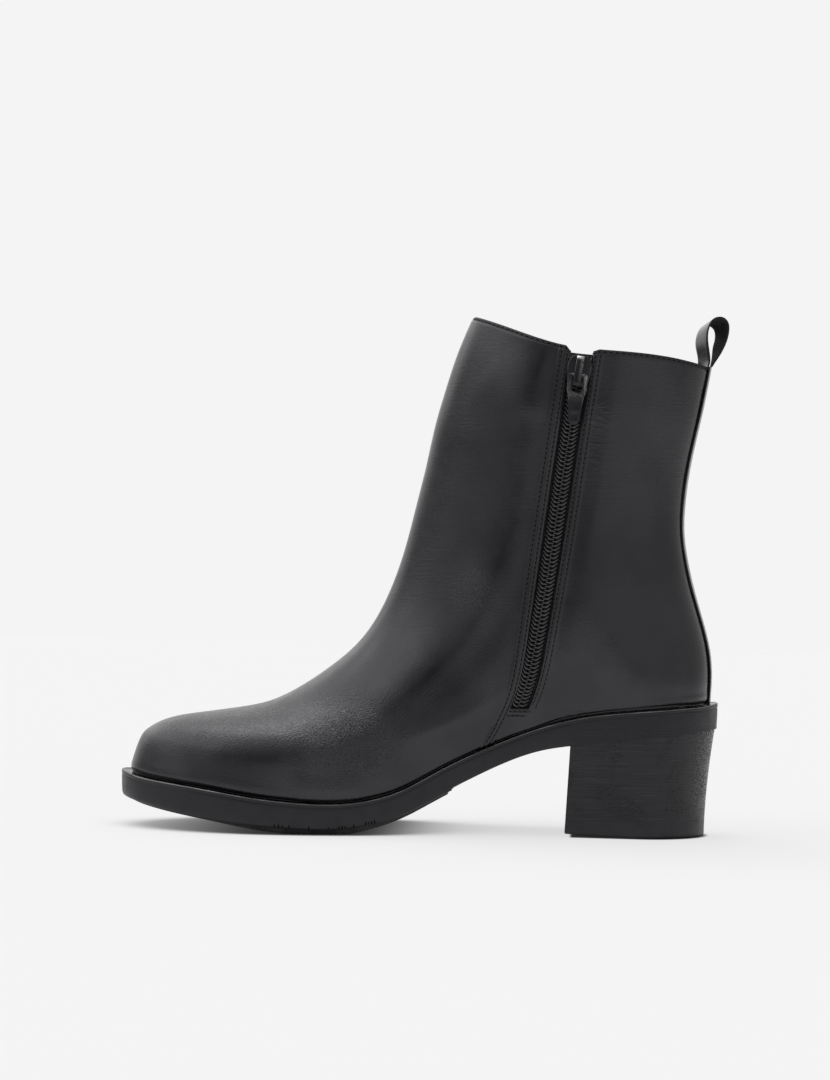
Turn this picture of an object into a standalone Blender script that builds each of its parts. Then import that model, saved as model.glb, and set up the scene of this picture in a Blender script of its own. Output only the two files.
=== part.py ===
"""Heeled ankle boot with a zip on the inner side, right foot."""
import math

import bmesh
import bpy
import numpy as np

# All sizes are millimetres. X runs from the toe (-) to the heel (+), the inner
# side of the foot with the zip faces -Y, and Z is up from the floor.
MM = 0.001
GAP = 0.3
SHARP_ANGLE = 32.0

TOE_TIP_X = -129.0
HEEL_END_X = 126.0
TOE_SWING = 6.0
TOE_SWING_FROM_X = -55.0
TOE_FULLNESS = 0.94

UPPER_WALL = 2.0
UPPER_TOE_X = -125.6
UPPER_HEEL_X = 122.0

SHANK_STEP = 0.8
SHANK_STEP_X = 14.0
TREAD_INSET = 5.0
TREAD_DROP = 0.95
TREAD_BALL_DROP = 2.9
TREAD_BALL_X = -42.0
TREAD_END_X = 12.0

BREAST_TOP_X = 63.4
BREAST_FLOOR_X = 61.5
BREAST_HOLLOW = 2.0
HEEL_INSET = 1.0
HEEL_BACK_LEAN = 4.0
HEEL_TAPER = 0.12
LIFT_HEIGHT = 7.4

INSOLE_THICKNESS = 2.6
INSOLE_INSET = 7.2

ZIP_SLOT = 9.4
ZIP_SLOT_END_Z = 54.0
ZIP_CHAIN_WIDTH = 7.0
ZIP_CHAIN_DEPTH = (-2.0, -0.4)
ZIP_CHAIN_HEIGHTS = (199.0, 54.6)
ZIP_TAPE_WIDTH = 21.0
ZIP_TAPE_DEPTH = (-3.0, -2.35)
ZIP_TAPE_HEIGHTS = (202.5, 50.0)
SLIDER_Z = 196.5
TAB_TURN = 3.0

STRAP_WIDTH = 12.0
STRAP_THICKNESS = 1.3
STRAP_END_V = 0.975
LOOP_TWIST = 17.5
LOOP_CENTRE_X = 121.0

# Sole edge seen from the side.
SOLE_COLUMNS = ("x", "top", "wall")
SOLE_ROWS = (
    (-129.0, 23.5, 10.3),
    (-118.0, 21.6, 10.8),
    (-104.0, 19.9, 11.6),
    (-88.0, 17.9, 12.0),
    (-70.0, 15.3, 11.6),
    (-52.0, 13.5, 11.1),
    (-34.0, 13.0, 10.8),
    (-20.0, 14.8, 10.4),
    (-8.0, 18.5, 10.6),
    (8.0, 27.1, 11.2),
    (30.0, 37.8, 10.4),
    (50.0, 45.8, 10.5),
    (66.0, 50.2, 12.0),
    (90.0, 53.5, 12.2),
    (126.0, 56.3, 11.1),
)

# Edge of the outsole from the top down: a lip, a fine groove and the wall.
EDGE_TOP_COLUMNS = ("inset", "below_top")
EDGE_TOP_ROWS = (
    (0.45, 0.0),
    (0.0, 0.35),
    (0.0, 1.3),
    (0.55, 1.55),
    (0.55, 1.95),
    (0.1, 2.25),
)
EDGE_LOW_COLUMNS = ("inset", "above_bottom")
EDGE_LOW_ROWS = (
    (0.4, 0.9),
    (1.4, 0.0),
)

# Profile of the upper over the instep and toe, from collar to sole.
FRONT_COLUMNS = ("x", "z")
FRONT_ROWS = (
    (18.6, 220.6),
    (11.9, 204.5),
    (7.0, 189.0),
    (2.9, 173.4),
    (-0.3, 157.9),
    (-3.8, 142.3),
    (-7.4, 126.7),
    (-11.9, 111.2),
    (-18.2, 95.6),
    (-28.4, 79.9),
    (-40.4, 69.2),
    (-53.6, 60.1),
    (-67.0, 53.6),
    (-80.0, 50.8),
    (-96.5, 48.5),
    (-109.3, 46.0),
    (-118.8, 41.0),
    (-124.2, 34.0),
    (-125.6, 23.2),
)

# Profile of the upper down the back of the heel, from collar to sole.
BACK_COLUMNS = ("x", "z")
BACK_ROWS = (
    (120.1, 199.9),
    (116.6, 180.6),
    (112.3, 159.9),
    (109.9, 141.0),
    (109.7, 129.5),
    (111.2, 118.5),
    (114.9, 103.1),
    (119.5, 87.7),
    (121.8, 77.4),
    (122.5, 68.0),
    (121.9, 56.3),
)

# Height of the collar edge below the straight line from front to back.
COLLAR_COLUMNS = ("t", "drop")
COLLAR_ROWS = (
    (0.0, 0.0),
    (0.13, 2.2),
    (0.37, 5.4),
    (0.60, 3.2),
    (0.85, 0.3),
    (1.0, 0.0),
)

# Rings of the upper from collar to sole: share of the front and back profile,
# dip towards the sole line, half widths at ball, waist and heel on the inner
# (m) and outer (l) side, and the length of the rounded front and back end.
RING_COLUMNS = ("f", "b", "dip", "ball_m", "ball_l", "waist_m", "waist_l", "heel", "cap_f", "cap_b")
RING_ROWS = (
    (0.00, 0.000, 0.00, 33.5, 33.5, 34.0, 34.0, 33.5, 0.50, 0.50),
    (0.11, 0.150, 0.00, 32.8, 32.8, 33.3, 33.3, 32.8, 0.50, 0.50),
    (0.22, 0.290, 0.00, 31.8, 31.8, 32.3, 32.3, 31.5, 0.50, 0.50),
    (0.33, 0.440, 0.03, 31.0, 31.2, 31.8, 31.8, 30.4, 0.51, 0.47),
    (0.44, 0.560, 0.11, 31.0, 31.8, 32.4, 32.6, 30.2, 0.51, 0.41),
    (0.54, 0.660, 0.25, 31.2, 32.6, 32.8, 33.6, 30.6, 0.49, 0.34),
    (0.63, 0.750, 0.42, 32.2, 34.4, 32.6, 34.4, 31.2, 0.45, 0.28),
    (0.72, 0.830, 0.60, 34.6, 37.2, 31.8, 34.4, 31.6, 0.39, 0.23),
    (0.81, 0.890, 0.76, 38.0, 40.2, 30.6, 34.2, 31.6, 0.36, 0.19),
    (0.89, 0.940, 0.88, 40.6, 42.4, 29.4, 33.8, 31.2, 0.33, 0.155),
    (0.95, 0.975, 0.95, 41.8, 43.4, 28.2, 33.0, 30.6, 0.305, 0.14),
    (1.00, 1.000, 1.00, 41.0, 42.6, 26.4, 31.8, 29.4, 0.29, 0.13),
)

# The sole's own outline, in the same columns.
SOLE_OUTLINE = {
    "ball_m": 43.6, "ball_l": 45.2, "waist_m": 28.8, "waist_l": 34.2, "heel": 31.8,
    "cap_f": 0.29, "cap_b": 0.13,
}

# The zip and the seam below it, seen from the side.
ZIP_LINE_COLUMNS = ("z", "x")
ZIP_LINE_ROWS = (
    (38.0, 33.0),
    (56.0, 42.7),
    (79.0, 48.2),
    (152.0, 58.3),
    (208.0, 66.0),
)

# The pull loop above the collar, middle of the strap, seen from the side.
LOOP_COLUMNS = ("x", "z")
LOOP_ROWS = (
    (122.6, 204.0),
    (125.0, 210.0),
    (126.3, 215.5),
    (125.6, 219.4),
    (122.8, 221.5),
    (119.4, 220.8),
    (116.8, 217.2),
    (115.7, 211.0),
    (116.2, 205.0),
)
LOOP_LEG_V = (0.012, 0.05, 0.09)


def cubic(xs, ys):
    """Smooth curve through the rows of a table."""
    xs = np.asarray(xs, float)
    ys = np.asarray(ys, float)
    n = len(xs)
    h = np.diff(xs)
    a = np.eye(n)
    r = np.zeros(n)
    for i in range(1, n - 1):
        a[i, i - 1:i + 2] = h[i - 1], 2.0 * (h[i - 1] + h[i]), h[i]
        r[i] = 6.0 * ((ys[i + 1] - ys[i]) / h[i] - (ys[i] - ys[i - 1]) / h[i - 1])
    m = np.linalg.solve(a, r)

    def at(x):
        x = np.clip(x, xs[0], xs[-1])
        i = np.clip(np.searchsorted(xs, x) - 1, 0, n - 2)
        d = xs[i + 1] - x
        e = x - xs[i]
        g = h[i]
        return (m[i] * d ** 3 + m[i + 1] * e ** 3) / (6.0 * g) \
            + (ys[i] / g - m[i] * g / 6.0) * d + (ys[i + 1] / g - m[i + 1] * g / 6.0) * e

    return at


def columns(rows):
    return np.array(rows, float).T


def path(rows):
    """Curve through points, by share of its length."""
    p = np.array(rows, float)
    d = np.concatenate(([0.0], np.cumsum(np.linalg.norm(np.diff(p, axis=0), axis=1))))
    parts = [cubic(d, p[:, k]) for k in range(p.shape[1])]
    fine = np.linspace(0.0, d[-1], 600)
    q = np.stack([c(fine) for c in parts], axis=1)
    s = np.concatenate(([0.0], np.cumsum(np.linalg.norm(np.diff(q, axis=0), axis=1))))

    def at(share):
        where = np.asarray(share) * s[-1]
        return np.stack([np.interp(where, s, q[:, k]) for k in range(q.shape[1])], axis=-1)

    return at


def smooth(x):
    x = np.clip(x, 0.0, 1.0)
    return x * x * (3.0 - 2.0 * x)


SOLE_X, SOLE_TOP, SOLE_WALL = columns(SOLE_ROWS)
sole_top = cubic(SOLE_X, SOLE_TOP)
sole_wall = cubic(SOLE_X, SOLE_WALL)
front_at = path(FRONT_ROWS)
back_at = path(BACK_ROWS)
collar_drop = cubic(*columns(COLLAR_ROWS))
zip_x_at = cubic(*columns(ZIP_LINE_ROWS))
RING = {name: col for name, col in zip(RING_COLUMNS, columns(RING_ROWS))}
ring_value = {name: cubic(RING["f"], RING[name]) for name in RING_COLUMNS[1:]}


def sole_bottom(x):
    return sole_top(x) - sole_wall(x) + np.where(np.asarray(x) > SHANK_STEP_X, SHANK_STEP, 0.0)


def swing(x):
    """Sideways curve of the toe towards the inner side."""
    q = np.clip((TOE_SWING_FROM_X - x) / (TOE_SWING_FROM_X - TOE_TIP_X), 0.0, 1.0)
    return -TOE_SWING * q ** 1.6


def half_width(t, ball, waist, heel, cap_f, cap_b):
    body = cubic((0.0, 0.30, 0.64, 0.88, 1.0), (ball * TOE_FULLNESS, ball, waist, heel, heel))(t)
    front = np.clip(t / cap_f, 0.0, 1.0)
    back = np.clip((1.0 - t) / cap_b, 0.0, 1.0)
    return body * np.sqrt(1.0 - (1.0 - front) ** 2) * np.sqrt(1.0 - (1.0 - back) ** 2)


FEATHER_T = np.linspace(0.0, 1.0, 200)
FEATHER_X = UPPER_TOE_X + (UPPER_HEEL_X - UPPER_TOE_X) * FEATHER_T
FEATHER_CHORD = sole_top(UPPER_TOE_X) * (1.0 - FEATHER_T) + sole_top(UPPER_HEEL_X) * FEATHER_T
FEATHER_DIP = sole_top(FEATHER_X) - FEATHER_CHORD


class Ring:
    """One ring of the upper, running from the front over the inner side to the back and home."""

    def __init__(self, v, count=150):
        value = {name: float(c(v)) for name, c in ring_value.items()}
        xf, zf = front_at(v)
        xb, zb = back_at(value["b"])
        t = (1.0 - np.cos(np.linspace(0.0, math.pi, count))) / 2.0
        x = xf + (xb - xf) * t
        z = zf + (zb - zf) * t
        z = z + value["dip"] * np.interp(t, FEATHER_T, FEATHER_DIP)
        z = z - collar_drop(t) * (1.0 - smooth(v / 0.34))
        low = smooth((v - 0.93) / 0.07)
        z = z * (1.0 - low) + (sole_top(x) + GAP) * low
        ends = value["heel"], value["cap_f"], value["cap_b"]
        ym = swing(x) - half_width(t, value["ball_m"], value["waist_m"], *ends)
        yl = swing(x) + half_width(t, value["ball_l"], value["waist_l"], *ends)
        inner = np.stack((x, ym, z), axis=1)
        outer = np.stack((x, yl, z), axis=1)[::-1]
        self.points = np.concatenate((inner, outer[1:]))
        step = np.linalg.norm(np.diff(self.points, axis=0), axis=1)
        self.arc = np.concatenate(([0.0], np.cumsum(step)))
        self.length = self.arc[-1]
        self.back = self.arc[count - 1]
        zip_t = np.interp(0.0, x - zip_x_at(z), t)
        self.zip = np.interp(zip_t, t, self.arc[:count])
        self.seam = np.interp(-zip_t, -t[::-1], self.arc[count - 1:])

    def at(self, s):
        s = np.mod(s, self.length)
        return np.stack([np.interp(s, self.arc, self.points[:, k]) for k in range(3)], axis=-1)


def patch(v, landmark, s):
    """Points and outward normals of the upper at arc distances s from a landmark."""
    s = np.asarray(s, float)
    dv = 0.004
    low = max(v - dv, 0.0)
    high = min(v + dv, 1.0)
    here = Ring(v)
    p = here.at(getattr(here, landmark) + s)
    along = here.at(getattr(here, landmark) + s + 0.6) - here.at(getattr(here, landmark) + s - 0.6)
    a = Ring(low)
    b = Ring(high)
    down = b.at(getattr(b, landmark) + s) - a.at(getattr(a, landmark) + s)
    n = np.cross(down, along)
    n = n / np.linalg.norm(n, axis=1)[:, None]
    return p, n


def v_for_zip_z(z):
    vs = np.linspace(0.0, 1.0, 161)
    zs = []
    for v in vs:
        ring = Ring(v, 60)
        zs.append(ring.at(ring.zip)[2])
    return float(np.interp(-z, -np.array(zs), vs))


def spread(a, b, count, power=1.0, far=False):
    q = np.linspace(0.0, 1.0, count + 1)[:-1]
    q = 1.0 - (1.0 - q) ** power if far else q ** power
    return a + (b - a) * q


def material(name, colour, rough, metal=0.0):
    m = bpy.data.materials.new(name)
    m.use_nodes = True
    shader = m.node_tree.nodes["Principled BSDF"]
    shader.inputs["Base Color"].default_value = (*colour, 1.0)
    shader.inputs["Roughness"].default_value = rough
    shader.inputs["Metallic"].default_value = metal
    return m


def shade(mesh, look):
    """Give a mesh its material, smooth on round faces and sharp at edges."""
    mesh.materials.clear()
    mesh.materials.append(look)
    mesh.shade_smooth()
    mesh.set_sharp_from_angle(angle=math.radians(SHARP_ANGLE))


def solid(name, verts, faces, look):
    mesh = bpy.data.meshes.new(name)
    mesh.from_pydata([tuple(np.asarray(p, float) * MM) for p in verts], [], [tuple(f) for f in faces])
    bm = bmesh.new()
    bm.from_mesh(mesh)
    bmesh.ops.remove_doubles(bm, verts=bm.verts, dist=0.000002)
    bmesh.ops.recalc_face_normals(bm, faces=bm.faces)
    bmesh.ops.triangulate(bm, faces=bm.faces)
    bm.to_mesh(mesh)
    bm.free()
    shade(mesh, look)
    obj = bpy.data.objects.new(name, mesh)
    bpy.context.scene.collection.objects.link(obj)
    return obj


def walls(count, n):
    """Faces between closed loops of n points."""
    faces = []
    for k in range(count - 1):
        for i in range(n):
            j = (i + 1) % n
            faces.append((k * n + i, k * n + j, (k + 1) * n + j, (k + 1) * n + i))
    return faces


def loft(name, loops, look, cap):
    """Solid through closed loops of the same count, with the same faces across both ends."""
    n = len(loops[0])
    verts = [p for loop in loops for p in loop]
    last = (len(loops) - 1) * n
    faces = walls(len(loops), n) + [tuple(f) for f in cap] + [tuple(i + last for i in f) for f in cap]
    return solid(name, verts, faces, look)


def ladder(n):
    """End face of a loop of paired stations, as rungs across it."""
    faces = []
    half = n // 2
    for i in range(half):
        a, b = i, i + 1
        c, d = (n - i - 1) % n, (n - i) % n
        quad = []
        for k in (a, b, c, d):
            if k not in quad:
                quad.append(k)
        faces.append(quad)
    return faces


def outline(stations, inset, start=TOE_TIP_X, end=HEEL_END_X):
    """Closed loop of the sole's outline: toe tip, inner side, heel, outer side."""
    x = np.asarray(stations, float)
    t = (x - start) / (end - start)
    o = SOLE_OUTLINE
    ym = swing(x) - half_width(t, o["ball_m"], o["waist_m"], o["heel"], o["cap_f"], o["cap_b"])
    yl = swing(x) + half_width(t, o["ball_l"], o["waist_l"], o["heel"], o["cap_f"], o["cap_b"])
    loop = np.concatenate((np.stack((x, ym), axis=1), np.stack((x, yl), axis=1)[::-1][1:-1]))
    tangent = np.roll(loop, -1, axis=0) - np.roll(loop, 1, axis=0)
    normal = np.stack((-tangent[:, 1], tangent[:, 0]), axis=1)
    normal = normal / np.linalg.norm(normal, axis=1)[:, None]
    return loop + normal * inset


def lift_to(loop, height):
    return np.column_stack((loop, height(loop[:, 0])))


def sole_stations(count):
    q = (1.0 - np.cos(np.linspace(0.0, math.pi, count + 1))) / 2.0
    return TOE_TIP_X + (HEEL_END_X - TOE_TIP_X) * q


def build_outsole(look):
    x = sole_stations(46)
    x = np.sort(np.concatenate((x, (SHANK_STEP_X - 0.2, SHANK_STEP_X + 0.5))))
    loops = []
    for inset, below in EDGE_TOP_ROWS:
        loops.append(lift_to(outline(x, inset), lambda q, drop=below: sole_top(q) - drop))
    for inset, above in EDGE_LOW_ROWS:
        loops.append(lift_to(outline(x, inset), lambda q, rise=above: sole_bottom(q) + rise))
    return loft("outsole", loops, look, ladder(len(loops[0])))


def build_tread(look):
    stations = sole_stations(46)
    x = np.concatenate((stations[stations < TREAD_END_X - 3.0], (TREAD_END_X,)))
    count = len(x)
    whole = outline(np.concatenate((x, stations[stations > TREAD_END_X + 3.0])), TREAD_INSET)
    inner = whole[:count]
    outer = whole[len(whole) - count + 1:]
    inner[-1, 0] = TREAD_END_X
    outer[0, 0] = TREAD_END_X
    loop = np.concatenate((inner, outer))
    top = lift_to(loop, lambda q: sole_bottom(np.minimum(q, SHANK_STEP_X - 0.3)) - GAP)
    low = lift_to(loop, tread_bottom)
    return loft("forefoot_tread", [top, low], look, tread_rungs(count))


def tread_bottom(x):
    """Underside of the tread: near the sole at both ends, flat on the floor at the ball."""
    near = 1.0 - smooth(np.abs(x - TREAD_BALL_X) / 52.0)
    drop = TREAD_DROP + (TREAD_BALL_DROP - TREAD_DROP) * near
    return np.maximum(sole_bottom(np.minimum(x, SHANK_STEP_X - 0.3)) - drop, 0.0)


def tread_rungs(count):
    n = 2 * count - 1
    faces = [(0, 1, n - 1)]
    for i in range(1, count - 1):
        faces.append((i, i + 1, n - i - 1, n - i))
    return faces


def heel_loop(h, z_at, inset, count=17, across=6):
    """Closed outline of the heel at share h of its height: breast, inner side, back, outer side."""
    start = BREAST_TOP_X + (BREAST_FLOOR_X - BREAST_TOP_X) * h + inset
    end = HEEL_END_X - HEEL_INSET - HEEL_BACK_LEAN * (1.0 - (1.0 - h) ** 1.8) - inset
    q = np.linspace(0.0, 1.0, count)
    q = 1.0 - (1.0 - q) ** 1.7
    x = start + (end - start) * q
    top_x = BREAST_TOP_X + (HEEL_END_X - BREAST_TOP_X) * q
    t = (top_x - TOE_TIP_X) / (HEEL_END_X - TOE_TIP_X)
    o = SOLE_OUTLINE
    scale = (1.0 - HEEL_TAPER * h)
    wm = half_width(t, o["ball_m"], o["waist_m"], o["heel"], o["cap_f"], o["cap_b"]) - HEEL_INSET - inset
    wl = half_width(t, o["ball_l"], o["waist_l"], o["heel"], o["cap_f"], o["cap_b"]) - HEEL_INSET - inset
    wm = np.maximum(wm, 0.0) * scale
    wl = np.maximum(wl, 0.0) * scale
    wm[-1] = 0.0
    wl[-1] = 0.0
    inner = np.stack((x, -wm), axis=1)
    outer = np.stack((x, wl), axis=1)[::-1][1:]
    k = np.linspace(0.0, 1.0, across + 1)[1:-1]
    yb = wl[0] + (-wm[0] - wl[0]) * k
    breast = np.stack((start + BREAST_HOLLOW * np.sin(math.pi * k), yb), axis=1)
    loop = np.concatenate((inner, outer, breast))
    return np.column_stack((loop, z_at(loop[:, 0])))


def heel_block(name, loops, look):
    """Solid through heel outlines, each end closed by triangles from its middle."""
    n = len(loops[0])
    verts = [p for loop in loops for p in loop]
    faces = walls(len(loops), n)
    for k, loop in ((0, loops[0]), (len(loops) - 1, loops[-1])):
        verts.append(np.mean(loop, axis=0))
        faces += [(k * n + i, k * n + (i + 1) % n, len(verts) - 1) for i in range(n)]
    return solid(name, verts, faces, look)


def build_heel(look):
    def seat(x):
        return heel_seat(x) - GAP

    loops = []
    for h, inset in ((0.0, 0.5), (0.02, 0.0), (0.2, 0.0), (0.45, 0.0), (0.72, 0.0), (0.83, 0.0)):
        drop = h / 0.83
        loops.append(heel_loop(h, lambda x, d=drop: seat(x) * (1.0 - d) + (LIFT_HEIGHT + GAP) * d, inset))
    return heel_block("heel_stack", loops, look)


def heel_seat(x):
    """Plane under the outsole that carries the heel."""
    z0 = float(sole_bottom(BREAST_TOP_X))
    z1 = float(sole_bottom(HEEL_END_X))
    return np.minimum(sole_bottom(x), z0 + (z1 - z0) * (x - BREAST_TOP_X) / (HEEL_END_X - BREAST_TOP_X))


def build_lift(look):
    loops = [
        heel_loop(0.83, lambda x: np.full_like(x, LIFT_HEIGHT), 0.0),
        heel_loop(0.99, lambda x: np.full_like(x, 0.6), 0.0),
        heel_loop(1.0, lambda x: np.zeros_like(x), 0.5),
    ]
    return heel_block("heel_top_lift", loops, look)


def build_insole(look):
    loop = outline(sole_stations(34), INSOLE_INSET)
    low = lift_to(loop, lambda q: sole_top(q) + GAP)
    high = lift_to(loop, lambda q: sole_top(q) + GAP + INSOLE_THICKNESS)
    return loft("insole", [low, high], look, ladder(len(loop)))


def upper_arcs(ring, front=15, gap=2, rear=12):
    """Arc positions of the columns, with one column on each edge of the zip slot."""
    a = ring.zip - ZIP_SLOT / 2.0
    b = ring.zip + ZIP_SLOT / 2.0
    return np.concatenate((
        spread(0.0, a, front, 1.4),
        spread(a, b, gap),
        spread(b, ring.back, rear, 1.35, far=True),
        spread(ring.back, ring.seam, rear, 1.35),
        spread(ring.seam, ring.length, front + 1, 1.4, far=True),
    ))


def build_upper(look):
    front, gap, rear = 15, 2, 12
    slot_v = v_for_zip_z(ZIP_SLOT_END_Z)
    vs = np.concatenate((np.linspace(0.0, slot_v, 25), np.linspace(slot_v, 1.0, 7)[1:]))
    slot_row = 24
    rings = [Ring(v) for v in vs]
    outer = np.array([ring.at(upper_arcs(ring, front, gap, rear)) for ring in rings])
    rows, cols = outer.shape[:2]
    down = np.gradient(outer, axis=0)
    along = np.roll(outer, -1, axis=1) - np.roll(outer, 1, axis=1)
    normal = np.cross(down, along)
    normal = normal / np.linalg.norm(normal, axis=2)[:, :, None]
    inner = outer - normal * UPPER_WALL
    inner[0, :, 2] = outer[0, :, 2]
    inner[-1, :, 2] = sole_top(inner[-1, :, 0]) + GAP
    verts = np.concatenate((outer.reshape(-1, 3), inner.reshape(-1, 3)))
    shift = rows * cols

    def o(r, c):
        return r * cols + c % cols

    def i(r, c):
        return shift + r * cols + c % cols

    faces = []
    slot = range(front, front + gap)
    for r in range(rows - 1):
        for c in range(cols):
            if r < slot_row and c in slot:
                continue
            faces.append((o(r, c), o(r, c + 1), o(r + 1, c + 1), o(r + 1, c)))
            faces.append((i(r, c), i(r + 1, c), i(r + 1, c + 1), i(r, c + 1)))
    for c in range(cols):
        if c not in slot:
            faces.append((o(0, c), i(0, c), i(0, c + 1), o(0, c + 1)))
        faces.append((o(rows - 1, c), o(rows - 1, c + 1), i(rows - 1, c + 1), i(rows - 1, c)))
    for c in slot:
        faces.append((o(slot_row, c), i(slot_row, c), i(slot_row, c + 1), o(slot_row, c + 1)))
    for r in range(slot_row):
        faces.append((o(r, front), o(r + 1, front), i(r + 1, front), i(r, front)))
        faces.append((o(r, front + gap), i(r, front + gap), i(r + 1, front + gap), o(r + 1, front + gap)))
    used = sorted({k for f in faces for k in f})
    new = {k: n for n, k in enumerate(used)}
    return solid("upper", verts[used], [tuple(new[k] for k in f) for f in faces], look)


def band(name, stations, look):
    """Closed strip; each station is a pair of rows of points, one per face of the strip."""
    loops = [np.concatenate((np.asarray(low), np.asarray(high)[::-1])) for low, high in stations]
    n = len(loops[0])
    half = n // 2
    cap = [(k, k + 1, n - k - 2, n - k - 1) for k in range(half - 1)]
    return loft(name, loops, look, cap)


def zip_band(name, heights, width, depth, across, look, count=25):
    """Strip that runs down the zip line between two heights, at two depths in the wall."""
    s = np.linspace(-width / 2.0, width / 2.0, across)
    stations = []
    for v in np.linspace(v_for_zip_z(heights[0]), v_for_zip_z(heights[1]), count):
        p, n = patch(v, "zip", s)
        stations.append((p + n * depth[0], p + n * depth[1]))
    return band(name, stations, look)


def build_strap(look):
    """Back strip from the sole to the collar, over the pull loop and down inside the collar."""
    s = np.linspace(-STRAP_WIDTH / 2.0, STRAP_WIDTH / 2.0, 5)
    stations = []
    for v in np.linspace(STRAP_END_V, 0.02, 22):
        p, n = patch(v, "back", s)
        stations.append((p + n * GAP, p + n * (GAP + STRAP_THICKNESS)))
    first = stations[-1]
    begin = (first[0][2] + first[1][2])[[0, 2]] / 2.0
    legs = []
    for v in LOOP_LEG_V:
        p, n = patch(v, "back", s)
        legs.append((p - n * (UPPER_WALL + GAP), p - n * (UPPER_WALL + GAP + STRAP_THICKNESS)))
    finish = (legs[0][0][2] + legs[0][1][2])[[0, 2]] / 2.0
    line = np.concatenate(([begin], path(LOOP_ROWS)(np.linspace(0.0, 1.0, 17)), [finish]))
    for k in range(1, len(line) - 1):
        along = line[k + 1] - line[k - 1]
        along = along / np.linalg.norm(along)
        out = np.array((along[1], -along[0]))
        turn = math.radians(LOOP_TWIST) * float(smooth((line[k][1] - 199.0) / 11.0))
        low = []
        high = []
        for y in s:
            for side, keep in ((-0.5, low), (0.5, high)):
                x = line[k][0] + out[0] * side * STRAP_THICKNESS
                z = line[k][1] + out[1] * side * STRAP_THICKNESS
                dx = x - LOOP_CENTRE_X
                keep.append((LOOP_CENTRE_X + dx * math.cos(turn) - y * math.sin(turn),
                             dx * math.sin(turn) + y * math.cos(turn), z))
        stations.append((np.array(low), np.array(high)))
    stations += legs
    return band("back_strap", stations, look)


def zip_frame():
    """Place and directions at the slider: towards the heel, down the zip, away from the leather."""
    v = v_for_zip_z(SLIDER_Z)
    p, n = patch(v, "zip", [0.0])
    ring_a = Ring(v - 0.02)
    ring_b = Ring(v + 0.02)
    down = ring_b.at(ring_b.zip) - ring_a.at(ring_a.zip)
    n = n[0]
    down = down - n * np.dot(down, n)
    down = down / np.linalg.norm(down)
    side = np.cross(down, n)
    if side[0] < 0.0:
        side = -side
    return p[0], side, down, n


def in_frame(frame, a, d, n):
    p, side, down, out = frame
    return p + side * a + down * d + out * n


def prism_faces(n):
    """Two end faces of n corners and the walls between them."""
    return [tuple(range(n)), tuple(range(n, 2 * n))] + walls(2, n)


SLIDER_PLATE = (
    (-1.8, -6.6), (1.8, -6.6), (4.0, -5.2), (5.2, -2.6), (5.0, 1.5), (4.3, 5.6), (3.4, 6.8),
    (1.2, 6.8), (-1.2, 6.8), (-3.4, 6.8), (-4.3, 5.6), (-5.0, 1.5), (-5.2, -2.6), (-4.0, -5.2),
)
PLATE_LOW = 0.35
PLATE_HIGH = 1.4
BRIDGE_WIDTH = 3.1
BRIDGE_PROFILE = (
    (-5.9, 1.1), (-5.9, 3.1), (-4.9, 4.2), (4.6, 4.2), (5.8, 3.1), (5.8, 1.1),
    (4.6, 1.1), (4.6, 2.7), (4.1, 3.3), (-4.2, 3.3), (-4.7, 2.7), (-4.7, 1.1),
)
PIVOT_D = 2.0
PIVOT_N = 2.35


def build_slider(frame, look):
    low = [in_frame(frame, a, d, PLATE_LOW) for a, d in SLIDER_PLATE]
    high = [in_frame(frame, a, d, PLATE_HIGH) for a, d in SLIDER_PLATE]
    plate = solid("zip_slider", low + high, prism_faces(len(low)), look)
    near = [in_frame(frame, -BRIDGE_WIDTH / 2.0, d, h) for d, h in BRIDGE_PROFILE]
    far = [in_frame(frame, BRIDGE_WIDTH / 2.0, d, h) for d, h in BRIDGE_PROFILE]
    bridge = solid("slider_bridge", near + far, prism_faces(len(near)), look)
    join = plate.modifiers.new("join", "BOOLEAN")
    join.operation = "UNION"
    join.solver = "EXACT"
    join.object = bridge
    bpy.context.view_layer.objects.active = plate
    bpy.context.view_layer.update()
    mesh = bpy.data.meshes.new_from_object(plate.evaluated_get(bpy.context.evaluated_depsgraph_get()))
    plate.modifiers.clear()
    shade(mesh, look)
    plate.data = mesh
    bpy.data.objects.remove(bridge)
    return plate


TAB_OUTSIDE = (
    (4.2, -0.5), (4.2, 6.8), (3.4, 9.2), (3.1, 13.0), (2.6, 19.4), (2.1, 20.6), (1.0, 21.1),
    (-1.0, 21.1), (-2.1, 20.6), (-2.6, 19.4), (-3.1, 13.0), (-3.4, 9.2), (-4.2, 6.8), (-4.2, -0.5),
)
TAB_WINDOW = ((2.3, 0.5), (2.3, 6.2), (1.4, 7.4), (-1.4, 7.4), (-2.3, 6.2), (-2.3, 0.5))
TAB_HALF_THICKNESS = 0.5


def tab_frame(frame):
    """Frame of the pull tab at its pivot, turned a little about the leather's normal."""
    p, side, down, out = frame
    c = math.cos(math.radians(TAB_TURN))
    s = math.sin(math.radians(TAB_TURN))
    turned_side = side * c - down * s
    turned_down = down * c + side * s
    return p + down * PIVOT_D + out * PIVOT_N, turned_side, turned_down, out


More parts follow.
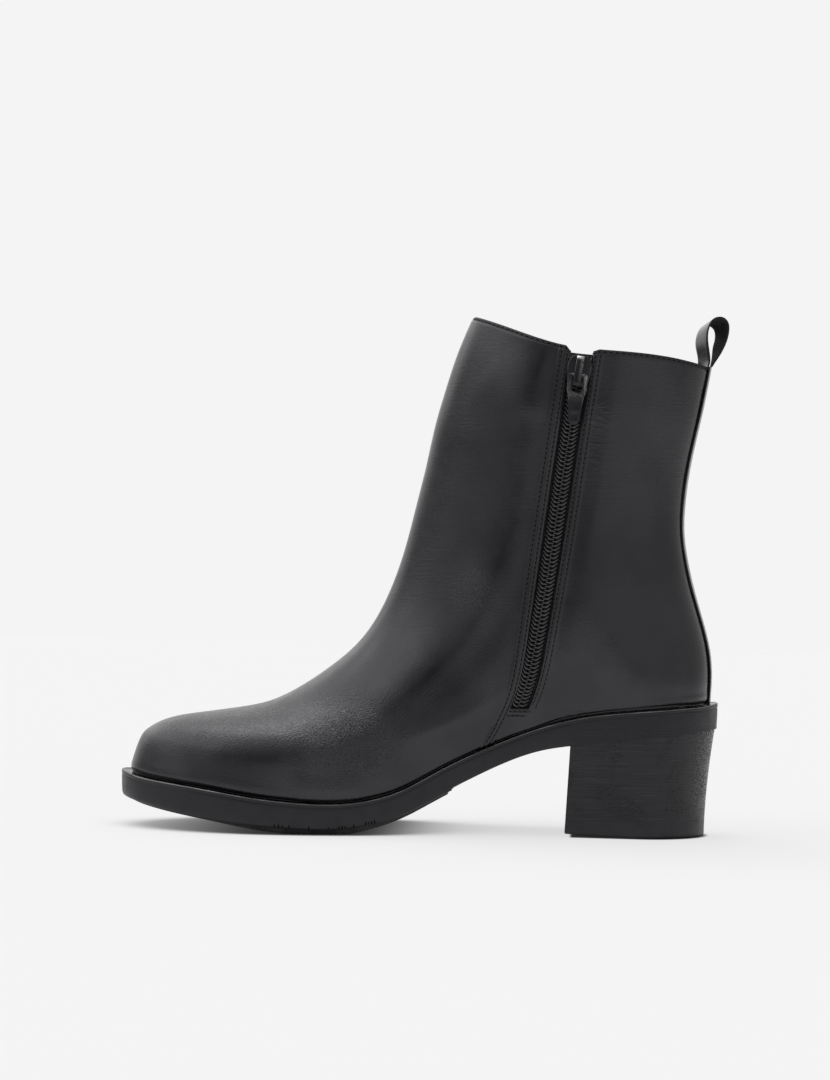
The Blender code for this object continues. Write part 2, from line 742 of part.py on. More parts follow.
def build_tab(frame, look):
    pivot, side, down, out = tab_frame(frame)
    place = np.zeros(3), side, down, out
    bm = bmesh.new()
    loops = []
    for plan in (TAB_OUTSIDE, TAB_WINDOW):
        ring = [bm.verts.new(tuple(in_frame(place, a, d, -TAB_HALF_THICKNESS) * MM)) for a, d in plan]
        edges = [bm.edges.new((ring[k], ring[(k + 1) % len(ring)])) for k in range(len(ring))]
        loops += edges
    bmesh.ops.triangle_fill(bm, use_beauty=True, use_dissolve=False, edges=loops)
    bottom = list(bm.faces)
    made = bmesh.ops.extrude_face_region(bm, geom=bottom)
    moved = [g for g in made["geom"] if isinstance(g, bmesh.types.BMVert)]
    step = place[3] * (2.0 * TAB_HALF_THICKNESS * MM)
    bmesh.ops.translate(bm, verts=moved, vec=tuple(step))
    bmesh.ops.recalc_face_normals(bm, faces=bm.faces)
    bmesh.ops.triangulate(bm, faces=bm.faces)
    mesh = bpy.data.meshes.new("zip_pull_tab")
    bm.to_mesh(mesh)
    bm.free()
    shade(mesh, look)
    obj = bpy.data.objects.new("zip_pull_tab", mesh)
    obj.location = tuple(pivot * MM)
    bpy.context.scene.collection.objects.link(obj)
    return obj


def centre_on_floor(objects):
    """Hang the pieces on an empty that puts the boot's bottom centre at the origin."""
    pts = np.concatenate([np.array([(o.location + v.co)[:] for v in o.data.vertices]) for o in objects])
    low = pts.min(axis=0)
    high = pts.max(axis=0)
    boot = bpy.data.objects.new("boot", None)
    boot.location = (-(low[0] + high[0]) / 2.0, -(low[1] + high[1]) / 2.0, -low[2])
    bpy.context.scene.collection.objects.link(boot)
    for o in objects:
        o.parent = boot


def main():
    for o in list(bpy.data.objects):
        bpy.data.objects.remove(o)
    leather = material("black_leather", (0.018, 0.018, 0.019), 0.38)
    edge = material("sole_edge", (0.016, 0.016, 0.017), 0.45)
    rubber = material("black_rubber", (0.014, 0.014, 0.015), 0.6)
    stack = material("stacked_heel", (0.017, 0.017, 0.018), 0.5)
    lining = material("insole_leather", (0.05, 0.045, 0.04), 0.7)
    webbing = material("strap_webbing", (0.02, 0.02, 0.02), 0.7)
    textile = material("zip_tape_cloth", (0.012, 0.012, 0.013), 0.8)
    coil = material("zip_coil_nylon", (0.015, 0.015, 0.016), 0.45)
    metal = material("black_metal", (0.03, 0.03, 0.032), 0.35, 0.8)
    frame = zip_frame()
    objects = [
        build_outsole(edge),
        build_tread(rubber),
        build_heel(stack),
        build_lift(rubber),
        build_insole(lining),
        build_upper(leather),
        build_strap(webbing),
        zip_band("zip_tape", ZIP_TAPE_HEIGHTS, ZIP_TAPE_WIDTH, ZIP_TAPE_DEPTH, 5, textile),
        zip_band("zip_chain", ZIP_CHAIN_HEIGHTS, ZIP_CHAIN_WIDTH, ZIP_CHAIN_DEPTH, 3, coil),
        build_slider(frame, metal),
        build_tab(frame, metal),
    ]
    centre_on_floor(objects)


main()
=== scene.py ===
"""Looks of the heeled ankle boot: leather, sole, heel, zip and strap, in a pale studio."""
import math

import bmesh
import bpy
import numpy as np
from mathutils import Matrix, Vector


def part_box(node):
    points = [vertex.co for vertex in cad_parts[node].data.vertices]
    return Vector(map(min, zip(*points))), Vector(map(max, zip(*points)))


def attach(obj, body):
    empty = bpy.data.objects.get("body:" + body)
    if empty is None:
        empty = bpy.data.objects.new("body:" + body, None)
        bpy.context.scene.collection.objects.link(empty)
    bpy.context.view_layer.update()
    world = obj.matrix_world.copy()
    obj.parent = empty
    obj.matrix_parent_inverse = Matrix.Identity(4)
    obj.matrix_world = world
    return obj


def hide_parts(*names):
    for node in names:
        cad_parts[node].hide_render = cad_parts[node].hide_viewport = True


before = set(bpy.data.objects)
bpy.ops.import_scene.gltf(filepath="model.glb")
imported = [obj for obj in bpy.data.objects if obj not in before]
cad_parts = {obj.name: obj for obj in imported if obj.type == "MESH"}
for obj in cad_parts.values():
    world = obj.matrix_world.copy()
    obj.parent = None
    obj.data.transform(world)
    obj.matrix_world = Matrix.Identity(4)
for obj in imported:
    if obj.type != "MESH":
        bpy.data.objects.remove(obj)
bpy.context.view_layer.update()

# Sizes are millimetres in the boot's own frame: X from toe (-) to heel (+), the
# inner side with the zip faces -Y, Z is up from the floor. The tables below are
# those of the solids, so each piece here has the form of the solid it replaces.
MM = 0.001
GAP = 0.3

TOE_TIP_X = -129.0
HEEL_END_X = 126.0
TOE_SWING = 6.0
TOE_SWING_FROM_X = -55.0
TOE_FULLNESS = 0.94

UPPER_TOE_X = -125.6
UPPER_HEEL_X = 122.0
UPPER_WALL = 2.0
UPPER_COLLAR_V = 0.34
UPPER_FEATHER_V = 0.93
UPPER_FEATHER_RUN = 0.07
LEATHER = 1.15
LINING_TOP = 1.2

SHANK_STEP = 0.8
SHANK_STEP_X = 14.0
TREAD_INSET = 5.0
TREAD_DROP = 0.95
TREAD_BALL_DROP = 2.9
TREAD_BALL_X = -42.0
TREAD_END_X = 12.0

BREAST_TOP_X = 63.4
BREAST_FLOOR_X = 61.5
BREAST_HOLLOW = 2.0
HEEL_INSET = 1.0
HEEL_BACK_LEAN = 4.0
HEEL_TAPER = 0.12
HEEL_LIFT_AT = 0.83
LIFT_HEIGHT = 7.4
LIFT_WEAR = 1.4
LIFT_WEAR_X = 102.0

INSOLE_THICKNESS = 2.6
INSOLE_INSET = 7.2

ZIP_SLOT = 9.4
ZIP_SLOT_END_Z = 54.0
ZIP_CHAIN_HEIGHTS = (199.0, 53.4)
ZIP_TAPE_WIDTH = 21.0
ZIP_TAPE_DEPTH = (-3.0, -2.35)
ZIP_TAPE_HEIGHTS = (203.5, 50.0)
ZIP_PITCH = 1.735
SLIDER_Z = 196.5
TAB_TURN = 3.0

STRAP_WIDTH = 12.0
STRAP_THICKNESS = 0.75
STRAP_SEAT = 0.08
STRAP_END_V = 0.996
# Twist of the loop's outer and inner leg: angle, height where it starts, height that it takes
LOOP_TWISTS = ((26.0, 199.0, 13.0), (22.0, 193.0, 10.0))
LOOP_TILT = 13.0
LOOP_TILT_FROM_Z = 203.0
LOOP_TILT_RISE = 12.0
LOOP_CENTRE_X = 121.0

# Along the sole: x, height of its top, height of its wall
SOLE_ROWS = (
    (-129.0, 23.5, 10.3),
    (-118.0, 21.6, 10.8),
    (-104.0, 19.9, 11.6),
    (-88.0, 17.9, 12.0),
    (-70.0, 15.3, 11.6),
    (-52.0, 13.5, 11.1),
    (-34.0, 13.0, 10.8),
    (-20.0, 14.8, 10.4),
    (-8.0, 18.5, 10.6),
    (8.0, 27.1, 11.2),
    (30.0, 37.8, 10.4),
    (50.0, 45.8, 10.5),
    (66.0, 50.2, 12.0),
    (90.0, 53.5, 12.2),
    (126.0, 56.3, 11.1),
)

# Front line of the upper in the side view: x, z
FRONT_ROWS = (
    (18.6, 220.6),
    (11.9, 204.5),
    (7.0, 189.0),
    (2.9, 173.4),
    (-0.3, 157.9),
    (-3.8, 142.3),
    (-7.4, 126.7),
    (-11.9, 111.2),
    (-18.2, 95.6),
    (-28.4, 79.9),
    (-40.4, 69.2),
    (-53.6, 60.1),
    (-67.0, 53.6),
    (-80.0, 50.8),
    (-96.5, 48.5),
    (-109.3, 46.0),
    (-118.8, 41.0),
    (-124.2, 34.0),
    (-125.6, 23.2),
)

# Back line of the upper in the side view: x, z
BACK_ROWS = (
    (120.1, 199.9),
    (116.6, 180.6),
    (112.3, 159.9),
    (109.9, 141.0),
    (109.7, 129.5),
    (111.2, 118.5),
    (114.9, 103.1),
    (119.5, 87.7),
    (121.8, 77.4),
    (122.5, 68.0),
    (121.9, 56.3),
)

# Collar from front to back: share of the way, drop below a straight line
COLLAR_ROWS = (
    (0.0, 0.0),
    (0.13, 2.2),
    (0.37, 5.4),
    (0.60, 3.2),
    (0.85, 0.3),
    (1.0, 0.0),
)

RING_COLUMNS = ("f", "b", "dip", "ball_m", "ball_l", "waist_m", "waist_l", "heel", "cap_f", "cap_b")
RING_ROWS = (
    (0.00, 0.000, 0.00, 33.5, 33.5, 34.0, 34.0, 33.5, 0.50, 0.50),
    (0.11, 0.150, 0.00, 32.8, 32.8, 33.3, 33.3, 32.8, 0.50, 0.50),
    (0.22, 0.290, 0.00, 31.8, 31.8, 32.3, 32.3, 31.5, 0.50, 0.50),
    (0.33, 0.440, 0.03, 31.0, 31.2, 31.8, 31.8, 30.4, 0.51, 0.47),
    (0.44, 0.560, 0.11, 31.0, 31.8, 32.4, 32.6, 30.2, 0.51, 0.41),
    (0.54, 0.660, 0.25, 31.2, 32.6, 32.8, 33.6, 30.6, 0.49, 0.34),
    (0.63, 0.750, 0.42, 32.2, 34.4, 32.6, 34.4, 31.2, 0.45, 0.28),
    (0.72, 0.830, 0.60, 34.6, 37.2, 31.8, 34.4, 31.6, 0.39, 0.23),
    (0.81, 0.890, 0.76, 38.0, 40.2, 30.6, 34.2, 31.6, 0.36, 0.19),
    (0.89, 0.940, 0.88, 40.6, 42.4, 29.4, 33.8, 31.2, 0.33, 0.155),
    (0.95, 0.975, 0.95, 41.8, 43.4, 28.2, 33.0, 30.6, 0.305, 0.14),
    (1.00, 1.000, 1.00, 41.0, 42.6, 26.4, 31.8, 29.4, 0.29, 0.13),
)

SOLE_OUTLINE = {
    "ball_m": 43.6, "ball_l": 45.2, "waist_m": 28.8, "waist_l": 34.2, "heel": 31.8,
    "cap_f": 0.29, "cap_b": 0.13,
}

# Middle line of the zip in the side view: z, x
ZIP_LINE_ROWS = (
    (38.0, 33.0),
    (56.0, 42.7),
    (79.0, 48.2),
    (152.0, 58.3),
    (208.0, 66.0),
)

# Pull loop in the side view: x, z
LOOP_ROWS = (
    (122.2, 204.0),
    (124.5, 210.0),
    (125.7, 214.9),
    (125.0, 218.3),
    (122.4, 220.0),
    (119.2, 219.3),
    (116.8, 216.0),
    (116.1, 211.0),
    (117.2, 204.6),
)
LOOP_LEG_V = (0.012, 0.09)


def cubic(xs, ys):
    """Smooth curve through the rows of a table."""
    xs = np.asarray(xs, float)
    ys = np.asarray(ys, float)
    n = len(xs)
    h = np.diff(xs)
    a = np.eye(n)
    r = np.zeros(n)
    for i in range(1, n - 1):
        a[i, i - 1:i + 2] = h[i - 1], 2.0 * (h[i - 1] + h[i]), h[i]
        r[i] = 6.0 * ((ys[i + 1] - ys[i]) / h[i] - (ys[i] - ys[i - 1]) / h[i - 1])
    m = np.linalg.solve(a, r)

    def at(x):
        x = np.clip(x, xs[0], xs[-1])
        i = np.clip(np.searchsorted(xs, x) - 1, 0, n - 2)
        d = xs[i + 1] - x
        e = x - xs[i]
        g = h[i]
        return (m[i] * d ** 3 + m[i + 1] * e ** 3) / (6.0 * g) \
            + (ys[i] / g - m[i] * g / 6.0) * d + (ys[i + 1] / g - m[i + 1] * g / 6.0) * e

    return at


def columns(rows):
    return np.array(rows, float).T


def lengths(points):
    """Distance along a line of points, from its start."""
    steps = np.linalg.norm(np.diff(points, axis=0), axis=1)
    return np.concatenate(([0.0], np.cumsum(steps)))


def interp_rows(where, s, rows):
    """Rows of a table at given places along s."""
    return np.stack([np.interp(where, s, rows[:, k]) for k in range(rows.shape[1])], axis=-1)


def along_line(points, where):
    """Points at given distances along a line."""
    return interp_rows(where, lengths(points), points)


def path(rows):
    """Curve through points, by share of its length."""
    p = np.array(rows, float)
    d = lengths(p)
    parts = [cubic(d, p[:, k]) for k in range(p.shape[1])]
    fine = np.linspace(0.0, d[-1], 1200)
    q = np.stack([c(fine) for c in parts], axis=1)
    total = lengths(q)[-1]
    return lambda share: along_line(q, np.asarray(share) * total)


def smooth(x):
    x = np.clip(x, 0.0, 1.0)
    return x * x * (3.0 - 2.0 * x)


def between(x, low, rise, high, fall):
    """Mask that comes in over a rise above low and goes out over a fall above high."""
    return smooth((x - low) / rise) * (1.0 - smooth((x - high) / fall))


def fade_ends(share, start=0.25, end=0.25):
    """Mask along a line that goes out towards both its ends."""
    return smooth(share / start) * smooth((1.0 - share) / end)


def one_side(y, side, blend=8.0):
    """Mask of one side of the boot: -1 inner, 1 outer."""
    return smooth(0.5 + side * y / blend)


def bell(x):
    return np.exp(-np.square(x))


def unit(v):
    return v / np.linalg.norm(v, axis=-1, keepdims=True)


SOLE_X, SOLE_TOP, SOLE_WALL = columns(SOLE_ROWS)
sole_top = cubic(SOLE_X, SOLE_TOP)
sole_wall = cubic(SOLE_X, SOLE_WALL)
front_at = path(FRONT_ROWS)
back_at = path(BACK_ROWS)
collar_drop = cubic(*columns(COLLAR_ROWS))
zip_x_at = cubic(*columns(ZIP_LINE_ROWS))
RING = {name: col for name, col in zip(RING_COLUMNS, columns(RING_ROWS))}
ring_value = {name: cubic(RING["f"], RING[name]) for name in RING_COLUMNS[1:]}


def sole_bottom(x):
    return sole_top(x) - sole_wall(x) + np.where(np.asarray(x) > SHANK_STEP_X, SHANK_STEP, 0.0)


def swing(x):
    """Sideways curve of the toe towards the inner side."""
    q = np.clip((TOE_SWING_FROM_X - x) / (TOE_SWING_FROM_X - TOE_TIP_X), 0.0, 1.0)
    return -TOE_SWING * q ** 1.6


def half_width(t, ball, waist, heel, cap_f, cap_b):
    body = cubic((0.0, 0.30, 0.64, 0.88, 1.0), (ball * TOE_FULLNESS, ball, waist, heel, heel))(t)
    front = np.clip(t / cap_f, 0.0, 1.0)
    back = np.clip((1.0 - t) / cap_b, 0.0, 1.0)
    return body * np.sqrt(1.0 - (1.0 - front) ** 2) * np.sqrt(1.0 - (1.0 - back) ** 2)


FEATHER_T = np.linspace(0.0, 1.0, 200)
FEATHER_X = UPPER_TOE_X + (UPPER_HEEL_X - UPPER_TOE_X) * FEATHER_T
FEATHER_CHORD = sole_top(UPPER_TOE_X) * (1.0 - FEATHER_T) + sole_top(UPPER_HEEL_X) * FEATHER_T
FEATHER_DIP = sole_top(FEATHER_X) - FEATHER_CHORD


class Ring:
    """One ring of the upper, running from the front over the inner side to the back and home."""

    def __init__(self, v, count=150):
        value = {name: float(c(v)) for name, c in ring_value.items()}
        xf, zf = front_at(v)
        xb, zb = back_at(value["b"])
        t = (1.0 - np.cos(np.linspace(0.0, math.pi, count))) / 2.0
        x = xf + (xb - xf) * t
        z = zf + (zb - zf) * t
        z = z + value["dip"] * np.interp(t, FEATHER_T, FEATHER_DIP)
        z = z - collar_drop(t) * (1.0 - smooth(v / UPPER_COLLAR_V))
        low = smooth((v - UPPER_FEATHER_V) / UPPER_FEATHER_RUN)
        z = z * (1.0 - low) + (sole_top(x) + GAP) * low
        ends = value["heel"], value["cap_f"], value["cap_b"]
        ym = swing(x) - half_width(t, value["ball_m"], value["waist_m"], *ends)
        yl = swing(x) + half_width(t, value["ball_l"], value["waist_l"], *ends)
        inner = np.stack((x, ym, z), axis=1)
        outer = np.stack((x, yl, z), axis=1)[::-1]
        self.points = np.concatenate((inner, outer[1:]))
        self.arc = lengths(self.points)
        self.length = self.arc[-1]
        self.back = self.arc[count - 1]
        zip_t = np.interp(0.0, x - zip_x_at(z), t)
        self.zip = np.interp(zip_t, t, self.arc[:count])
        self.seam = np.interp(-zip_t, -t[::-1], self.arc[count - 1:])

    def at(self, s):
        return interp_rows(np.mod(s, self.length), self.arc, self.points)


SLOPE_STEP_V = 0.004
SLOPE_STEP = 0.6


def patch(v, landmark, s):
    """Points and outward normals of the upper at arc distances s from a landmark."""
    s = np.asarray(s, float)
    here = Ring(v)
    mark = getattr(here, landmark)
    p = here.at(mark + s)
    along = here.at(mark + s + SLOPE_STEP) - here.at(mark + s - SLOPE_STEP)
    a = Ring(max(v - SLOPE_STEP_V, 0.0))
    b = Ring(min(v + SLOPE_STEP_V, 1.0))
    down = b.at(getattr(b, landmark) + s) - a.at(getattr(a, landmark) + s)
    return p, unit(np.cross(down, along))


def v_for_zip_z(z):
    vs = np.linspace(0.0, 1.0, 161)
    rings = [Ring(v, 60) for v in vs]
    zs = np.array([ring.at(ring.zip)[2] for ring in rings])
    return float(np.interp(-z, -zs, vs))


SLOT_END_V = v_for_zip_z(ZIP_SLOT_END_Z)


def sole_half_widths(t):
    """Half widths of the sole's outline, inner and outer, at shares of its length."""
    o = SOLE_OUTLINE
    ends = o["heel"], o["cap_f"], o["cap_b"]
    return [half_width(t, o["ball_" + side], o["waist_" + side], *ends) for side in ("m", "l")]


def left_normals(loop):
    """Directions to the left of a closed loop's run."""
    tangent = np.roll(loop, -1, axis=0) - np.roll(loop, 1, axis=0)
    return unit(np.stack((-tangent[:, 1], tangent[:, 0]), axis=1))


def outline(stations, inset):
    """Closed loop of the sole's outline: toe tip, inner side, heel, outer side."""
    x = np.asarray(stations, float)
    inner, outer = sole_half_widths((x - TOE_TIP_X) / (HEEL_END_X - TOE_TIP_X))
    near = np.stack((x, swing(x) - inner), axis=1)
    far = np.stack((x, swing(x) + outer), axis=1)
    loop = np.concatenate((near, far[::-1][1:-1]))
    return loop + left_normals(loop) * inset


def lift_to(loop, height):
    return np.column_stack((loop, height(loop[:, 0])))


def sole_stations(count):
    q = (1.0 - np.cos(np.linspace(0.0, math.pi, count + 1))) / 2.0
    return TOE_TIP_X + (HEEL_END_X - TOE_TIP_X) * q


def row_shift():
    """Offset from the sizes above to the part's frame, read from where the outsole lies."""
    low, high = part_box("outsole")
    loop = outline(sole_stations(46), 0.0)
    x = low.x / MM - TOE_TIP_X
    y = (low.y + high.y) / 2.0 / MM - (loop[:, 1].min() + loop[:, 1].max()) / 2.0
    return np.array((x, y, 0.0))


SHIFT = row_shift()


# Materials

WHITE = (1.0, 1.0, 1.0, 1.0)
COOL_GLOSS = (0.95, 0.93, 1.0, 1.0)
WAXED = {"Specular_IOR_Level": 0.42, "Specular_Tint": COOL_GLOSS}


class Nodes:
    """Nodes of one shader tree."""

    def __init__(self, tree):
        self.tree = tree

    def node(self, kind, inputs, **settings):
        made = self.tree.nodes.new(kind)
        for name, value in settings.items():
            setattr(made, name, value)
        for key, value in inputs.items():
            if isinstance(value, bpy.types.NodeSocket):
                self.tree.links.new(value, made.inputs[key])
            else:
                made.inputs[key].default_value = value
        return made

    def spread(self, source, low, high, to_low=0.0, to_high=1.0):
        inputs = {"Value": source, "From Min": low, "From Max": high, "To Min": to_low, "To Max": to_high}
        return self.node("ShaderNodeMapRange", inputs, interpolation_type="SMOOTHSTEP").outputs["Result"]

    def math(self, operation, a, b):
        return self.node("ShaderNodeMath", {0: a, 1: b}, operation=operation).outputs["Value"]


class Look(Nodes):
    """A Principled material and the nodes that vary it over the surface."""

    def __init__(self, name, colour, rough, **sockets):
        self.material = bpy.data.materials.new(name)
        self.material.use_nodes = True
        super().__init__(self.material.node_tree)
        self.shader = self.tree.nodes["Principled BSDF"]
        self.shader.inputs["Base Color"].default_value = (*colour, 1.0)
        self.shader.inputs["Roughness"].default_value = rough
        for socket, value in sockets.items():
            self.shader.inputs[socket.replace("_", " ")].default_value = value
        self.where = self.tree.nodes.new("ShaderNodeTexCoord").outputs["Object"]

    def place(self, stretch):
        return self.node("ShaderNodeMapping", {"Vector": self.where, "Scale": stretch}).outputs["Vector"]

    def noise(self, size, stretch=(1.0, 1.0, 1.0), detail=3.0, rough=0.5, warp=0.0):
        """Noise with lumps of about the given size in millimetres."""
        inputs = {"Vector": self.place(stretch), "Scale": 1.0 / (size * MM), "Detail": detail,
                  "Roughness": rough, "Distortion": warp}
        return self.node("ShaderNodeTexNoise", inputs).outputs["Fac"]

    def cells(self, size, stretch=(1.0, 1.0, 1.0), feature="SMOOTH_F1"):
        inputs = {"Vector": self.place(stretch), "Scale": 1.0 / (size * MM)}
        return self.node("ShaderNodeTexVoronoi", inputs, feature=feature).outputs["Distance"]

    def waves(self, size, stretch, direction, warp):
        inputs = {"Vector": self.place(stretch), "Scale": 1.0 / (size * MM) / 3.2, "Distortion": warp,
                  "Detail": 2.0, "Detail Scale": 1.5}
        return self.node("ShaderNodeTexWave", inputs, bands_direction=direction).outputs["Fac"]

    def mask(self, name):
        return self.node("ShaderNodeAttribute", {}, attribute_name=name).outputs["Fac"]

    def tint(self, share, dark, light):
        """Colour that goes from dark to light with a share."""
        made = self.node("ShaderNodeMix", {"Factor": share}, data_type="RGBA")
        for key, value in (("A", dark), ("B", light)):
            socket = next(s for s in made.inputs if s.name == key and s.type == "RGBA")
            if isinstance(value, bpy.types.NodeSocket):
                self.tree.links.new(value, socket)
            else:
                socket.default_value = (*value, 1.0)
        return next(s for s in made.outputs if s.type == "RGBA")

    def set(self, socket, source):
        self.tree.links.new(source, self.shader.inputs[socket])

    def bump(self, height, depth):
        """Relief of the given depth in millimetres, on top of what was set before."""
        inputs = {"Height": height, "Distance": depth * MM, "Strength": 1.0}
        linked = self.shader.inputs["Normal"].links
        if linked:
            inputs["Normal"] = linked[0].from_socket
        self.set("Normal", self.node("ShaderNodeBump", inputs).outputs["Normal"])

    def bump_where(self, mask, height, depth):
        self.bump(self.math("MULTIPLY", height, self.mask(mask)), depth)

    def roughen(self, size, low, high, detail=3.0):
        """Roughness that wanders between two values."""
        self.set("Roughness", self.spread(self.noise(size, detail=detail), 0.3, 0.7, low, high))

    def mottle(self, size, dark, light, detail=3.0, low=0.3, high=0.7):
        """Colour that wanders between two values."""
        share = self.spread(self.noise(size, detail=detail), low, high)
        self.set("Base Color", self.tint(share, dark, light))


def leather_look():
    look = Look("black_leather", (0.008, 0.008, 0.009), 0.36, Coat_Weight=0.1, Coat_Roughness=0.2,
                Specular_Tint=COOL_GLOSS)
    look.mottle(26.0, (0.0045, 0.0043, 0.0053), (0.0120, 0.0115, 0.0129), detail=2.0, low=0.35, high=0.65)
    fine = look.spread(look.noise(5.0, detail=4.0), 0.3, 0.7, 0.23, 0.31)
    worn = look.math("ADD", fine, look.math("MULTIPLY", look.mask("grain"), 0.04))
    look.set("Roughness", look.math("ADD", worn, look.math("MULTIPLY", look.mask("edge"), 0.35)))
    look.bump(look.noise(0.8, rough=0.6), 0.035)
    look.bump_where("hair", look.noise(1.3, stretch=(0.14, 0.14, 1.7)), 0.06)
    look.bump_where("grain", look.cells(0.8, stretch=(1.0, 1.0, 1.4)), 0.32)
    creased = look.cells(1.3, stretch=(0.8, 1.0, 1.9), feature="DISTANCE_TO_EDGE")
    look.bump_where("wrinkle", look.spread(creased, 0.0, 0.22), 0.17)
    polar = {"X": look.mask("fan_turn"), "Y": look.mask("fan_reach")}
    rays = look.node("ShaderNodeCombineXYZ", polar).outputs["Vector"]
    rayed = look.node("ShaderNodeTexNoise", {"Vector": rays, "Scale": 1.0, "Detail": 2.0}).outputs["Fac"]
    look.bump_where("fan", look.spread(rayed, 0.38, 0.62), 0.3)
    drawn = look.noise(1.7, stretch=(0.22, 0.22, 1.2), detail=2.0, warp=0.6)
    look.bump_where("drawn", look.spread(drawn, 0.5, 0.66), 0.11)
    slant = {"Vector": look.where, "Rotation": (0.0, math.radians(-40.0), 0.0), "Scale": (6.0, 1.0, 1.0)}
    slanted = look.node("ShaderNodeMapping", slant, vector_type="TEXTURE").outputs["Vector"]
    ticks = look.node("ShaderNodeTexNoise", {"Vector": slanted, "Scale": 1.0 / (0.9 * MM), "Detail": 2.0})
    look.bump_where("bend", ticks.outputs["Fac"], 0.2)
    return look.material


def edge_look():
    """Pressed and waxed edge of the sole, with a painted highlight along the top edge of its lip."""
    look = Look("sole_edge", (0.009, 0.009, 0.0095), 0.4, **WAXED)
    plain = look.spread(look.noise(6.0, detail=5.0), 0.3, 0.7, 0.36, 0.5)
    look.set("Roughness", look.math("SUBTRACT", plain, look.math("MULTIPLY", look.mask("lip"), 0.26)))
    rub = look.spread(look.noise(9.0, stretch=(0.25, 0.25, 1.0), detail=4.0), 0.55, 0.8)
    wall = look.tint(rub, (0.0065, 0.0063, 0.0072), (0.012, 0.0118, 0.0128))
    patchy = look.spread(look.noise(14.0), 0.35, 0.65, 0.3, 1.0)
    # Painted highlight with some wear: the lip's rim rows turn a patchy pale grey, a bright line standing in
    # for the light caught on its top edge.
    worn = look.math("MULTIPLY", look.mask("rim"), patchy)
    look.set("Base Color", look.tint(worn, wall, (0.17, 0.167, 0.164)))
    layers = look.noise(0.6, stretch=(0.03, 0.03, 1.0), detail=5.0, rough=0.7)
    look.bump_where("seat", layers, 0.25)
    look.bump(look.noise(0.9, stretch=(0.35, 0.35, 1.0)), 0.035)
    look.bump(look.noise(7.0, stretch=(0.5, 0.5, 1.0), detail=2.0), 0.1)
    return look.material


def lift_look():
    """Smooth rubber end of the heel."""
    look = Look("heel_rubber", (0.010, 0.010, 0.0105), 0.45, **WAXED)
    look.roughen(4.0, 0.4, 0.5, detail=5.0)
    look.mottle(7.0, (0.0065, 0.0063, 0.0071), (0.011, 0.0108, 0.0116), detail=4.0, low=0.35, high=0.75)
    look.bump(look.noise(0.7, stretch=(0.1, 0.1, 1.0)), 0.12)
    return look.material


def rubber_look():
    look = Look("black_rubber", (0.011, 0.011, 0.0115), 0.58)
    look.roughen(4.0, 0.5, 0.68, detail=5.0)
    look.mottle(11.0, (0.010, 0.010, 0.0105), (0.017, 0.017, 0.0175), low=0.35, high=0.75)
    look.bump(look.noise(0.6), 0.03)
    return look.material


def heel_look():
    """Stacked layers with fine lines along them, scratches, speckles and a worn back."""
    look = Look("stacked_heel", (0.012, 0.012, 0.0125), 0.4, **WAXED)
    layers = look.noise(0.6, stretch=(0.03, 0.03, 1.0), detail=5.0, rough=0.7)
    scratch = look.spread(look.noise(0.4, stretch=(0.02, 0.02, 1.0), detail=2.0), 0.64, 0.7)
    where = look.spread(look.noise(9.0, stretch=(0.6, 0.6, 1.6)), 0.52, 0.64)
    scratches = look.math("MULTIPLY", scratch, where)
    specks = look.spread(look.noise(0.75, stretch=(0.7, 0.7, 1.0), detail=4.0, rough=0.7), 0.5, 0.6)
    patches = look.spread(look.noise(17.0, detail=2.0), 0.47, 0.6, 0.0, 0.6)
    speckled = look.math("MULTIPLY", specks, look.math("MAXIMUM", look.mask("scuff"), patches))
    lines = look.tint(look.spread(layers, 0.3, 0.7), (0.0025, 0.0025, 0.0028), (0.0165, 0.0162, 0.0166))
    marked = look.tint(scratches, lines, (0.042, 0.0415, 0.042))
    look.set("Base Color", look.tint(speckled, marked, (0.004, 0.004, 0.004)))
    rubbed = look.math("MULTIPLY", look.mask("scuff"), 0.14)
    worn = look.math("SUBTRACT", look.spread(layers, 0.3, 0.7, 0.3, 0.48), rubbed)
    look.set("Roughness", look.math("ADD", worn, look.math("MULTIPLY", speckled, 0.4)))
    look.bump(layers, 0.3)
    look.bump(speckled, -0.14)
    look.bump(look.noise(0.5), 0.03)
    return look.material


def lining_look():
    look = Look("lining_leather", (0.03, 0.028, 0.026), 0.62)
    look.mottle(15.0, (0.022, 0.021, 0.02), (0.034, 0.032, 0.03), detail=4.0)
    look.roughen(3.0, 0.55, 0.7, detail=4.0)
    look.bump(look.cells(0.8), 0.06)
    return look.material


def flesh_look():
    """Matt inner face and edges of the strap."""
    look = Look("strap_flesh", (0.004, 0.004, 0.0042), 0.9, Specular_IOR_Level=0.12)
    look.roughen(2.0, 0.8, 0.95, detail=4.0)
    look.mottle(1.2, (0.018, 0.017, 0.0178), (0.04, 0.0385, 0.039), detail=4.0)
    look.bump(look.noise(0.5, detail=4.0), 0.08)
    return look.material


def strap_look():
    """Satin outer face of the strap."""
    look = Look("strap_leather", (0.013, 0.013, 0.0135), 0.3, Coat_Weight=0.6, Coat_Roughness=0.25)
    look.roughen(3.0, 0.26, 0.36, detail=4.0)
    look.mottle(8.0, (0.010, 0.010, 0.0105), (0.016, 0.016, 0.0165))
    look.bump(look.cells(0.7), 0.03)
    look.bump(look.noise(0.4, detail=2.0), 0.012)
    return look.material


